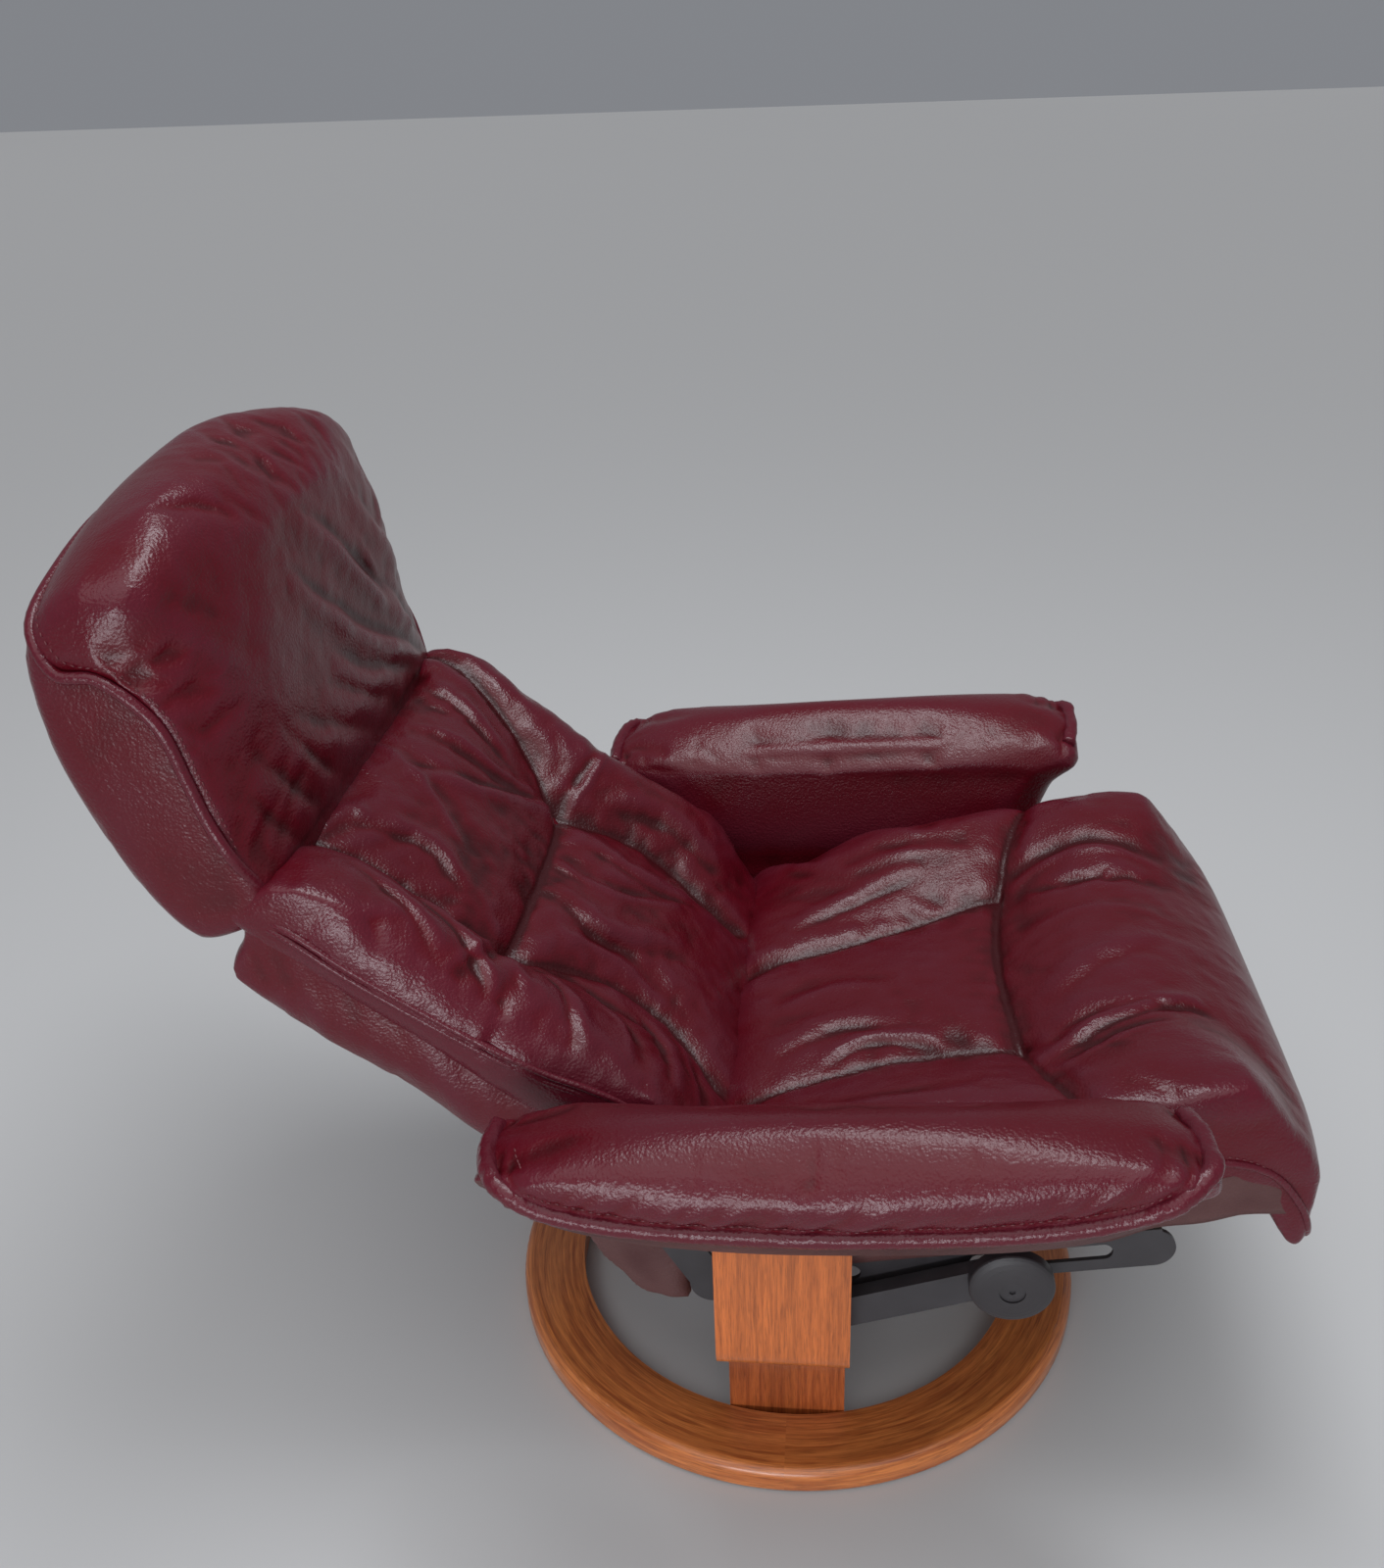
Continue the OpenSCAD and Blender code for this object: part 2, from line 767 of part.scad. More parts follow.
glide_ring();
base_ring();
base_arch();
arch_screws();
swivel_socket();
socket_bolts();
socket_nuts();
swivel_bush();
swivel_spindle();
spindle_washer();
spindle_nut();
yoke();
yoke_bolts();
mirror([1, 0, 0]) arm_board();  // arm_board_right
arm_board();  // arm_board_left
arm_bolts();
barrel_nuts();
mirror([1, 0, 0]) arm_pad();  // arm_pad_right
arm_pad();  // arm_pad_left
mirror([1, 0, 0]) side_bar();  // side_bar_right
side_bar();  // side_bar_left
bar_bolts();
glide_studs();
glide_bushes();
mirror([1, 0, 0]) knob();  // knob_right
knob();  // knob_left
mirror([1, 0, 0]) knob_screw();  // knob_screw_right
knob_screw();  // knob_screw_left
mirror([1, 0, 0]) seat_plate();  // seat_plate_right
seat_plate();  // seat_plate_left
seat_tubes();
seat_frame();
frame_screws();
seat_webbing();
seat_cushion();
seat_skirt();
pivot_shaft();
shaft_clips();
back_frame();
back_webbing();
back_shell();
back_cushion();
head_pins();
head_washers();
head_frame();
head_cushion();
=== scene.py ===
import json
import math

import bmesh
import bpy
import numpy as np
from mathutils import Matrix, Vector, noise
from mathutils.bvhtree import BVHTree


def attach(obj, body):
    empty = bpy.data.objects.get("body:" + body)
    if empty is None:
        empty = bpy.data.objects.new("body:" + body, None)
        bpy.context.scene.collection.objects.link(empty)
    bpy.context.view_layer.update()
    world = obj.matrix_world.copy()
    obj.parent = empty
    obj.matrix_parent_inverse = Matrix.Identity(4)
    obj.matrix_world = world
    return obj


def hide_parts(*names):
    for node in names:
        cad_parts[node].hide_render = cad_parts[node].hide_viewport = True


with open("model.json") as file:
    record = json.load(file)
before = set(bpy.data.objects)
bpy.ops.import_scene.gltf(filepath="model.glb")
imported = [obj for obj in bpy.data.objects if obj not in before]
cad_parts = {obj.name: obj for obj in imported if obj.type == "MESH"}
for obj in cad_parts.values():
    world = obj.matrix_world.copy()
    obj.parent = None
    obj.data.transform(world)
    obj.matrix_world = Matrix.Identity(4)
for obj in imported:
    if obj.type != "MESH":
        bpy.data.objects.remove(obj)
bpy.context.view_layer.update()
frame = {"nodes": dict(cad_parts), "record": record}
scene = bpy.context.scene


# Camera: at a standing person's eye height beside the chair's right arm, looking down across the seat.
camera = bpy.data.objects.new("Camera", bpy.data.cameras.new("Camera"))
scene.collection.objects.link(camera)
camera.data.lens = 33.5
facing = Matrix(((0.09578, 0.45536, -0.88514), (-0.99483, 0.01352, -0.10069), (-0.03389, 0.89020, 0.45430)))
camera.matrix_world = Matrix.Translation((-1.220, -0.043, 1.220)) @ facing.to_4x4()
scene.camera = camera


# Floor and lights: a plain pale floor, a big soft lamp low on the sitter's right, a ceiling panel over the chair,
# a very soft sky and a pale room all round.
def put(tree, kind, sockets=None, **settings):
    node = tree.nodes.new(kind)
    for key, value in settings.items():
        setattr(node, key, value)
    for key, value in (sockets or {}).items():
        if isinstance(value, bpy.types.NodeSocket):
            tree.links.new(value, node.inputs[key])
        else:
            node.inputs[key].default_value = value
    return node


def new_finish(name):
    finish = bpy.data.materials.new(name)
    finish.use_nodes = True
    return finish, finish.node_tree, finish.node_tree.nodes["Principled BSDF"]


def keep(name, bm, finish):
    mesh = bpy.data.meshes.new(name)
    bm.to_mesh(mesh)
    bm.free()
    mesh.materials.append(finish)
    mesh.shade_smooth()
    piece = bpy.data.objects.new(name, mesh)
    scene.collection.objects.link(piece)
    return piece


floor_finish, tree, shader = new_finish("Pale floor")
tone = put(tree, "ShaderNodeTexNoise", {"Scale": 1.5, "Detail": 6.0})
shade = put(tree, "ShaderNodeMapRange", {"Value": tone.outputs["Fac"], "To Min": 0.52, "To Max": 0.58})
tree.links.new(shade.outputs["Result"], shader.inputs["Base Color"])
shader.inputs["Roughness"].default_value = 0.75
bm = bmesh.new()
bmesh.ops.create_grid(bm, x_segments=1, y_segments=1, size=30.0)
floor = keep("Floor", bm, floor_finish)


def lamp(name, place, target, size, power, colour):
    light = bpy.data.objects.new(name, bpy.data.lights.new(name, "AREA"))
    scene.collection.objects.link(light)
    light.data.shape = "RECTANGLE"
    light.data.size, light.data.size_y = size
    light.data.energy = power
    light.data.color = colour
    aim = (Vector(target) - Vector(place)).to_track_quat("-Z", "Y")
    light.matrix_world = Matrix.Translation(place) @ aim.to_matrix().to_4x4()


lamp("Key", (-3.2, 0.4, 0.55), (0, 0, 0.4), (1.6, 0.7), 42, (0.93, 0.95, 1.0))
lamp("Ceiling", (0.1, -0.1, 2.7), (0, 0, 0), (1.4, 0.5), 25, (0.93, 0.96, 1.0))
sky = bpy.data.objects.new("Sky", bpy.data.lights.new("Sky", "SUN"))
scene.collection.objects.link(sky)
sky.data.energy = 1.3
sky.data.angle = 1.2
sky.matrix_world = Matrix.Rotation(math.radians(-25), 4, "Y")
world = bpy.data.worlds.new("Pale room")
world.use_nodes = True
world.node_tree.nodes["Background"].inputs["Color"].default_value = (0.80, 0.83, 0.90, 1)
world.node_tree.nodes["Background"].inputs["Strength"].default_value = 0.28
scene.world = world
scene.view_settings.view_transform = "Standard"


# Floor ring: bent beech laminated on edge and lacquered, 600 mm across, with the black glide strip under it.
# The grain follows the ring.
def wood_group():
    group = bpy.data.node_groups.new("Wood grain", "ShaderNodeTree")
    group.interface.new_socket(name="Vector", in_out="INPUT", socket_type="NodeSocketVector")
    group.interface.new_socket(name="Dark", in_out="INPUT", socket_type="NodeSocketColor")
    group.interface.new_socket(name="Light", in_out="INPUT", socket_type="NodeSocketColor")
    group.interface.new_socket(name="Color", in_out="OUTPUT", socket_type="NodeSocketColor")
    group.interface.new_socket(name="Height", in_out="OUTPUT", socket_type="NodeSocketFloat")
    group.interface.new_socket(name="Roughness", in_out="OUTPUT", socket_type="NodeSocketFloat")
    given = group.nodes.new("NodeGroupInput")
    result = group.nodes.new("NodeGroupOutput")
    along = given.outputs["Vector"]
    bands = put(group, "ShaderNodeTexNoise", {"Vector": along, "Scale": 1.0, "Detail": 5.0, "Distortion": 0.6})
    pores = put(group, "ShaderNodeTexNoise", {"Vector": along, "Scale": 4.5, "Detail": 3.0})
    cloudy = put(group, "ShaderNodeTexNoise", {"Vector": along, "Scale": 0.12, "Detail": 2.0})
    band = put(group, "ShaderNodeMapRange", {"Value": bands.outputs["Fac"], "From Min": 0.32, "From Max": 0.66})
    pore = put(group, "ShaderNodeMapRange", {"Value": pores.outputs["Fac"], "From Min": 0.38, "From Max": 0.5})
    cloud = put(group, "ShaderNodeMapRange", {"Value": cloudy.outputs["Fac"], "From Min": 0.3, "From Max": 0.7,
                                              "To Min": 0.78, "To Max": 1.12})
    tint = put(group, "ShaderNodeMix", {"Factor": band.outputs["Result"]}, data_type="RGBA")
    group.links.new(given.outputs["Dark"], tint.inputs["A"])
    group.links.new(given.outputs["Light"], tint.inputs["B"])
    darker = put(group, "ShaderNodeMapRange", {"Value": pore.outputs["Result"], "To Min": 0.72, "To Max": 1.0})
    share = put(group, "ShaderNodeMath", {0: darker.outputs["Result"], 1: cloud.outputs["Result"]},
                operation="MULTIPLY")
    shaded = put(group, "ShaderNodeVectorMath", {0: tint.outputs["Result"]}, operation="SCALE")
    group.links.new(share.outputs["Value"], shaded.inputs["Scale"])
    rough = put(group, "ShaderNodeMapRange", {"Value": band.outputs["Result"], "To Min": 0.36, "To Max": 0.28})
    group.links.new(shaded.outputs["Vector"], result.inputs["Color"])
    group.links.new(pore.outputs["Result"], result.inputs["Height"])
    group.links.new(rough.outputs["Result"], result.inputs["Roughness"])
    return group


wood_grain = wood_group()


def wood_finish(name, dark, light, stretch):
    finish, tree, shader = new_finish(name)
    place = put(tree, "ShaderNodeTexCoord").outputs["Object"]
    parts = put(tree, "ShaderNodeSeparateXYZ", {"Vector": place})
    along = stretch(tree, parts)
    grain = put(tree, "ShaderNodeGroup", node_tree=wood_grain)
    tree.links.new(along, grain.inputs["Vector"])
    grain.inputs["Dark"].default_value = (*dark, 1)
    grain.inputs["Light"].default_value = (*light, 1)
    bump = put(tree, "ShaderNodeBump", {"Strength": 0.18, "Distance": 0.0004, "Height": grain.outputs["Height"]})
    tree.links.new(grain.outputs["Color"], shader.inputs["Base Color"])
    tree.links.new(grain.outputs["Roughness"], shader.inputs["Roughness"])
    tree.links.new(bump.outputs["Normal"], shader.inputs["Normal"])
    shader.inputs["Coat Weight"].default_value = 0.25
    shader.inputs["Coat Roughness"].default_value = 0.18
    return finish


def maths(tree, operation, a, b=0.0):
    return put(tree, "ShaderNodeMath", {0: a, 1: b}, operation=operation).outputs["Value"]


def round_the_ring(tree, parts):
    x, y, z = (parts.outputs[k] for k in "XYZ")
    radius = maths(tree, "SQRT", maths(tree, "ADD", maths(tree, "MULTIPLY", x, x), maths(tree, "MULTIPLY", y, y)))
    turn = maths(tree, "ARCTAN2", y, x)
    across = maths(tree, "MULTIPLY", radius, 300.0)
    up = maths(tree, "MULTIPLY", z, 130.0)
    round_it = maths(tree, "MULTIPLY", turn, 3.0)
    return put(tree, "ShaderNodeCombineXYZ", {"X": across, "Y": round_it, "Z": up}).outputs[0]


def along_the_plate(tree, parts):
    x, y, z = (parts.outputs[k] for k in "XYZ")
    length = maths(tree, "ADD", maths(tree, "ABSOLUTE", x), z)
    return put(tree, "ShaderNodeCombineXYZ", {
        "X": maths(tree, "MULTIPLY", y, 330.0), "Y": maths(tree, "MULTIPLY", length, 14.0),
        "Z": maths(tree, "MULTIPLY", x, 6.0)}).outputs[0]


ring_wood = wood_finish("Ring wood", (0.33, 0.078, 0.018), (0.66, 0.215, 0.056), round_the_ring)
yoke_wood = wood_finish("Yoke wood", (0.44, 0.104, 0.019), (0.68, 0.175, 0.036), along_the_plate)
# The crosspiece's wood colours are darkened as painted shade.
shaded_arch_wood = wood_finish("Crosspiece wood in painted shade", (0.24, 0.050, 0.013), (0.44, 0.110, 0.028), along_the_plate)


def eased(node, name, ease, finish):
    bm = bmesh.new()
    bm.from_mesh(frame["nodes"][node].data)
    bmesh.ops.remove_doubles(bm, verts=bm.verts, dist=0.00002)
    bmesh.ops.dissolve_limit(bm, angle_limit=math.radians(1), verts=bm.verts, edges=bm.edges)
    sharp = [e for e in bm.edges if len(e.link_faces) == 2 and e.calc_face_angle(0) > math.radians(40)]
    bmesh.ops.bevel(bm, geom=sharp, offset=ease, segments=3, profile=0.5, affect="EDGES", material=-1,
                    clamp_overlap=True)
    piece = keep(name, bm, finish)
    piece.data.set_sharp_from_angle(angle=math.radians(50))
    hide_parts(node)
    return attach(piece, "base" if node.startswith("base") else "carrier")


eased("base_ring", "Floor_ring", 0.0012, ring_wood)


# Crosspiece: a strip of the same wood bent into a low arch over the ring's middle. It is screwed to the ring by
# its feet. Its wood is coloured darker than the ring's as painted shade, for the shade it sits in under the yoke.
eased("base_arch", "Crosspiece", 0.0025, shaded_arch_wood)


# Yoke: one wide laminated strip bent up at both ends. It is bolted to the swivel in the middle, and its two
# uprights carry the arms. Its long edges are well rounded.
eased("yoke", "Yoke", 0.0035, yoke_wood)


# Metal, plastic, plywood and webbing parts: the CAD parts stay as they are, in powder-coated steel, zinc-plated
# steel, moulded plastic, raw plywood and woven elastic.
def speckle_group():
    group = bpy.data.node_groups.new("Fine speckle", "ShaderNodeTree")
    group.interface.new_socket(name="Scale", in_out="INPUT", socket_type="NodeSocketFloat")
    group.interface.new_socket(name="Height", in_out="OUTPUT", socket_type="NodeSocketFloat")
    group.interface.new_socket(name="Rub", in_out="OUTPUT", socket_type="NodeSocketFloat")
    given = group.nodes.new("NodeGroupInput")
    result = group.nodes.new("NodeGroupOutput")
    place = put(group, "ShaderNodeTexCoord").outputs["Object"]
    grains = put(group, "ShaderNodeTexNoise", {"Vector": place, "Detail": 2.0})
    group.links.new(given.outputs["Scale"], grains.inputs["Scale"])
    patches = put(group, "ShaderNodeTexNoise", {"Vector": place, "Scale": 35.0, "Detail": 5.0})
    group.links.new(grains.outputs["Fac"], result.inputs["Height"])
    group.links.new(patches.outputs["Fac"], result.inputs["Rub"])
    return group


speckle = speckle_group()


def hard_finish(name, dark, light, rough, metallic=0.0, grain=900.0, strength=0.2):
    finish, tree, shader = new_finish(name)
    fine = put(tree, "ShaderNodeGroup", node_tree=speckle)
    fine.inputs["Scale"].default_value = grain
    tint = put(tree, "ShaderNodeMix", {"Factor": fine.outputs["Rub"]}, data_type="RGBA")
    tint.inputs["A"].default_value = (*dark, 1)
    tint.inputs["B"].default_value = (*light, 1)
    worn = put(tree, "ShaderNodeMapRange", {"Value": fine.outputs["Rub"], "To Min": rough[0], "To Max": rough[1]})
    bump = put(tree, "ShaderNodeBump", {"Strength": strength, "Distance": 0.0003,
                                        "Height": fine.outputs["Height"]})
    tree.links.new(tint.outputs["Result"], shader.inputs["Base Color"])
    tree.links.new(worn.outputs["Result"], shader.inputs["Roughness"])
    tree.links.new(bump.outputs["Normal"], shader.inputs["Normal"])
    shader.inputs["Metallic"].default_value = metallic
    return finish


hard = {
    "black_steel": hard_finish("Black powder coat", (0.020, 0.018, 0.020), (0.045, 0.040, 0.044), (0.30, 0.50)),
    "zinc_steel": hard_finish("Zinc plate", (0.42, 0.42, 0.41), (0.62, 0.61, 0.58), (0.28, 0.45), 1.0, 400.0),
    "black_plastic": hard_finish("Moulded plastic", (0.022, 0.019, 0.021), (0.036, 0.031, 0.034), (0.42, 0.55),
                                 0.0, 1400.0, 0.35),
    "nylon": hard_finish("Nylon", (0.62, 0.60, 0.53), (0.74, 0.72, 0.66), (0.4, 0.5)),
    "plywood": hard_finish("Plywood", (0.42, 0.27, 0.14), (0.58, 0.41, 0.24), (0.6, 0.75), 0.0, 300.0, 0.4),
    "webbing": hard_finish("Elastic webbing", (0.030, 0.026, 0.024), (0.060, 0.052, 0.048), (0.7, 0.9),
                           0.0, 700.0, 0.6),
}
slots = {part["node"]: part["material_slot"] for part in frame["record"]["subparts"]}
for node, part in frame["nodes"].items():
    if slots[node] in hard:
        part.data.materials.clear()
        part.data.materials.append(hard[slots[node]])


# Leather: aniline hide with a pebbled grain, darkened with painted shade in its creases and hollows, and browner
# where it is rubbed on its raised parts. The undersides are in a dull brown split hide.
def hide_group():
    group = bpy.data.node_groups.new("Hide grain", "ShaderNodeTree")
    group.interface.new_socket(name="Pebble", in_out="INPUT", socket_type="NodeSocketFloat")
    group.interface.new_socket(name="Height", in_out="OUTPUT", socket_type="NodeSocketFloat")
    group.interface.new_socket(name="Mottle", in_out="OUTPUT", socket_type="NodeSocketFloat")
    given = group.nodes.new("NodeGroupInput")
    result = group.nodes.new("NodeGroupOutput")
    place = put(group, "ShaderNodeTexCoord").outputs["Object"]
    cells = put(group, "ShaderNodeTexVoronoi", {"Vector": place}, feature="SMOOTH_F1")
    group.links.new(given.outputs["Pebble"], cells.inputs["Scale"])
    wrinkle = put(group, "ShaderNodeTexNoise", {"Vector": place, "Scale": 160.0, "Detail": 5.0, "Distortion": 1.2})
    mottle = put(group, "ShaderNodeTexNoise", {"Vector": place, "Scale": 9.0, "Detail": 6.0, "Distortion": 0.5})
    pebble = put(group, "ShaderNodeMath", {0: 1.0, 1: cells.outputs["Distance"]}, operation="SUBTRACT")
    rough = put(group, "ShaderNodeMath", {0: wrinkle.outputs["Fac"], 1: 1.4}, operation="MULTIPLY")
    height = put(group, "ShaderNodeMath", {0: pebble.outputs["Value"], 1: rough.outputs["Value"]}, operation="ADD")
    group.links.new(height.outputs["Value"], result.inputs["Height"])
    group.links.new(mottle.outputs["Fac"], result.inputs["Mottle"])
    return group


hide_grain = hide_group()


def hide_finish(name, crease_shade, full, rubbed, rough, coat, pebble=440.0):
    finish, tree, shader = new_finish(name)
    grain = put(tree, "ShaderNodeGroup", node_tree=hide_grain)
    grain.inputs["Pebble"].default_value = pebble
    # Painted shade: the rise attribute darkens the hide in its hollows and creases, and raised parts get the
    # browner rubbed colour.
    rise = put(tree, "ShaderNodeAttribute", attribute_name="rise").outputs["Fac"]
    spread = put(tree, "ShaderNodeMapRange", {"Value": grain.outputs["Mottle"], "From Min": 0.3, "From Max": 0.7,
                                              "To Min": -0.22, "To Max": 0.22}).outputs["Result"]
    level = maths(tree, "ADD", rise, spread)
    ramp = put(tree, "ShaderNodeValToRGB", {"Fac": level})
    ramp.color_ramp.elements[0].position = 0.12
    ramp.color_ramp.elements[0].color = (*crease_shade, 1)
    ramp.color_ramp.elements[1].position = 0.90
    ramp.color_ramp.elements[1].color = (*rubbed, 1)
    middle = ramp.color_ramp.elements.new(0.5)
    middle.color = (*full, 1)
    gloss = put(tree, "ShaderNodeMapRange", {"Value": level, "To Min": rough[0], "To Max": rough[1]})
    bump = put(tree, "ShaderNodeBump", {"Strength": 0.55, "Distance": 0.0007, "Height": grain.outputs["Height"]})
    tree.links.new(ramp.outputs["Color"], shader.inputs["Base Color"])
    tree.links.new(gloss.outputs["Result"], shader.inputs["Roughness"])
    tree.links.new(bump.outputs["Normal"], shader.inputs["Normal"])
    shader.inputs["Coat Weight"].default_value = coat
    shader.inputs["Coat Roughness"].default_value = 0.30
    shader.inputs["Specular IOR Level"].default_value = 0.31
    return finish


oxblood = hide_finish("Oxblood hide", (0.040, 0.0004, 0.0020), (0.092, 0.0018, 0.0072), (0.096, 0.0080, 0.0170),
                      (0.36, 0.25), 0.06)
split_hide = hide_finish("Brown split hide", (0.035, 0.008, 0.010), (0.075, 0.026, 0.026), (0.10, 0.042, 0.040),
                         (0.62, 0.52), 0.0)
thread = hard_finish("Waxed thread", (0.085, 0.012, 0.018), (0.16, 0.035, 0.042), (0.5, 0.6), 0.0, 1500.0, 0.3)


# Arm pads: foam over the arm boards under one puffed piece of hide. A rolled welt runs round each pad's outer
# lower edge and up over both ends, and below it a plain brown panel closes the underside. On the seat's side the
# same hide hangs lower as an apron and closes the gap beside the seat.
def smooth_line(points, per_gap=8, closed=False):
    points = [np.array(p, float) for p in points]
    count = len(points)
    line = []
    for i in range(count if closed else count - 1):
        if closed:
            a, b, c, d = (points[(i + k) % count] for k in (-1, 0, 1, 2))
        else:
            a, b, c, d = points[max(i - 1, 0)], points[i], points[i + 1], points[min(i + 2, count - 1)]
        for k in range(per_gap):
            t = k / per_gap
            line.append(0.5 * (2 * b + (c - a) * t + (2 * a - 5 * b + 4 * c - d) * t * t
                               + (3 * b - a - 3 * c + d) * t ** 3))
    if not closed:
        line.append(points[-1])
    return np.array(line)


def gap_to(line, spots, signed=False):
    best = np.full(len(spots), 1e9)
    along = np.zeros(len(spots))
    run = 0.0
    for a, b in zip(line[:-1], line[1:]):
        step = b - a
        length = max(float(np.linalg.norm(step)), 1e-9)
        t = np.clip((spots - a) @ step / length ** 2, 0, 1)
        gap = np.linalg.norm(spots - (a + t[:, None] * step), axis=1)
        closer = gap < np.abs(best)
        left = np.sign((spots[:, 0] - a[0]) * step[1] - (spots[:, 1] - a[1]) * step[0]) if signed else 1.0
        best[closer] = (gap * left)[closer]
        along[closer] = run + t[closer] * length
        run += length
    return best, along / run


def ease(value, low, high):
    t = np.clip((value - low) / (high - low), 0, 1)
    return t * t * (3 - 2 * t)


def outline_block(outline, half, edge):
    bm = bmesh.new()
    rim = [bm.verts.new((-half, p[0], p[1])) for p in smooth_line(outline, 6, closed=True)]
    cap = bm.faces.new(rim)
    far = bmesh.ops.extrude_face_region(bm, geom=[cap])["geom"]
    bmesh.ops.translate(bm, verts=[v for v in far if isinstance(v, bmesh.types.BMVert)], vec=(2 * half, 0, 0))
    bmesh.ops.holes_fill(bm, edges=bm.edges)
    bmesh.ops.recalc_face_normals(bm, faces=bm.faces)
    ends = [e for e in bm.edges if abs(e.verts[0].co.x - e.verts[1].co.x) < 1e-6]
    bmesh.ops.bevel(bm, geom=ends, offset=edge, segments=6, profile=0.5, affect="EDGES", material=-1,
                    clamp_overlap=True)
    bmesh.ops.scale(bm, vec=(0.001, 0.001, 0.001), verts=bm.verts)
    return bm


def settled(piece):
    seen = piece.evaluated_get(bpy.context.evaluated_depsgraph_get())
    mesh = bpy.data.meshes.new_from_object(seen)
    piece.modifiers.clear()
    piece.data = mesh
    mesh.shade_smooth()


def spots_of(piece):
    spots = np.empty(len(piece.data.vertices) * 3)
    piece.data.vertices.foreach_get("co", spots)
    return spots.reshape(-1, 3)


def move_to(piece, spots):
    piece.data.vertices.foreach_set("co", np.ascontiguousarray(spots, float).ravel())
    piece.data.update()


def facing_of(piece):
    normals = np.empty(len(piece.data.vertices) * 3)
    piece.data.vertices.foreach_get("normal", normals)
    return normals.reshape(-1, 3)


def averaged(piece, values, rounds):
    ends = np.empty(len(piece.data.edges) * 2, int)
    piece.data.edges.foreach_get("vertices", ends)
    a, b = ends.reshape(-1, 2).T
    count = np.zeros(len(values))
    np.add.at(count, a, 1)
    np.add.at(count, b, 1)
    values = np.array(values, float)
    for _ in range(rounds):
        total = np.zeros_like(values)
        np.add.at(total, a, values[b])
        np.add.at(total, b, values[a])
        values = total / (count if values.ndim == 1 else count[:, None])
    return values


def remeshed(piece, voxel):
    mod = piece.modifiers.new("Remesh", "REMESH")
    mod.mode = "VOXEL"
    mod.voxel_size = voxel
    settled(piece)


def puffed(piece, sewn, pressure, cap, spare=0.0, frames=14):
    start = spots_of(piece)
    held = piece.vertex_groups.new(name="held")
    held.add([int(i) for i in np.nonzero(sewn)[0]], 1.0, "REPLACE")
    mod = piece.modifiers.new("Cloth", "CLOTH")
    cloth = mod.settings
    cloth.quality = 4
    cloth.mass = 0.35
    cloth.tension_stiffness = cloth.compression_stiffness = 12
    cloth.shear_stiffness = 6
    cloth.bending_stiffness = 1.0
    cloth.use_pressure = True
    cloth.uniform_pressure_force = pressure
    cloth.vertex_group_mass = "held"
    cloth.shrink_min = -spare
    cloth.effector_weights.gravity = 0
    mod.collision_settings.use_collision = False
    for frame_number in range(1, frames + 1):
        scene.frame_set(frame_number)
    settled(piece)
    moved = spots_of(piece) - start
    length = np.linalg.norm(moved, axis=1)
    moved *= np.minimum(1, cap / np.maximum(length, 1e-9))[:, None]
    move_to(piece, start + moved)
    scene.frame_set(1)
    piece.vertex_groups.clear()


def subdivided(piece):
    mod = piece.modifiers.new("Subdivision", "SUBSURF")
    mod.levels = mod.render_levels = 1
    settled(piece)


# Rise: how far each point stands proud of its neighbours. The hide finishes use its low values as painted shade in
# creases and hollows.
def mark_rise(piece, gain=260.0, rounds=14):
    spots, normals = spots_of(piece), facing_of(piece)
    near = ((spots - averaged(piece, spots, 4)) * normals).sum(axis=1)
    wide = ((spots - averaged(piece, spots, rounds * 3)) * normals).sum(axis=1)
    rise = np.clip(0.5 + gain * near + gain * 0.35 * wide, 0, 1)
    mark = piece.data.attributes.new("rise", "FLOAT", "POINT")
    mark.data.foreach_set("value", rise.astype(np.float32))


def fold(gap, along, width, height):
    crest = np.exp(-(gap / width) ** 2) - 0.6 * np.exp(-((gap - 1.35 * width) / (0.55 * width)) ** 2)
    return height * crest * np.sin(np.pi * np.clip(along, 0, 1)) ** 0.6


def rumple(spots, stretch, scale, seed):
    scaled = spots * (np.array(stretch) * scale)
    return np.array([noise.noise(Vector(p) + Vector((seed, 3.1 * seed, 0))) for p in scaled])


def tube(name, points, radius, finish, per_gap=6, closed=False):
    line = smooth_line(points, per_gap, closed)
    curve = bpy.data.curves.new(name, "CURVE")
    curve.dimensions = "3D"
    curve.bevel_depth = radius
    curve.bevel_resolution = 3
    curve.use_fill_caps = True
    spline = curve.splines.new("POLY")
    spline.points.add(len(line) - 1)
    spline.points.foreach_set("co", np.column_stack([line, np.ones(len(line))]).ravel())
    spline.use_cyclic_u = closed
    rope = bpy.data.objects.new(name + "_path", curve)
    scene.collection.objects.link(rope)
    mesh = bpy.data.meshes.new_from_object(rope.evaluated_get(bpy.context.evaluated_depsgraph_get()))
    bpy.data.objects.remove(rope)
    mesh.materials.clear()
    mesh.materials.append(finish)
    mesh.shade_smooth()
    mesh.name = name
    piece = bpy.data.objects.new(name, mesh)
    scene.collection.objects.link(piece)
    return piece


def skin_of(piece):
    bm = bmesh.new()
    bm.from_mesh(piece.data)
    skin = BVHTree.FromBMesh(bm)
    bm.free()
    return skin


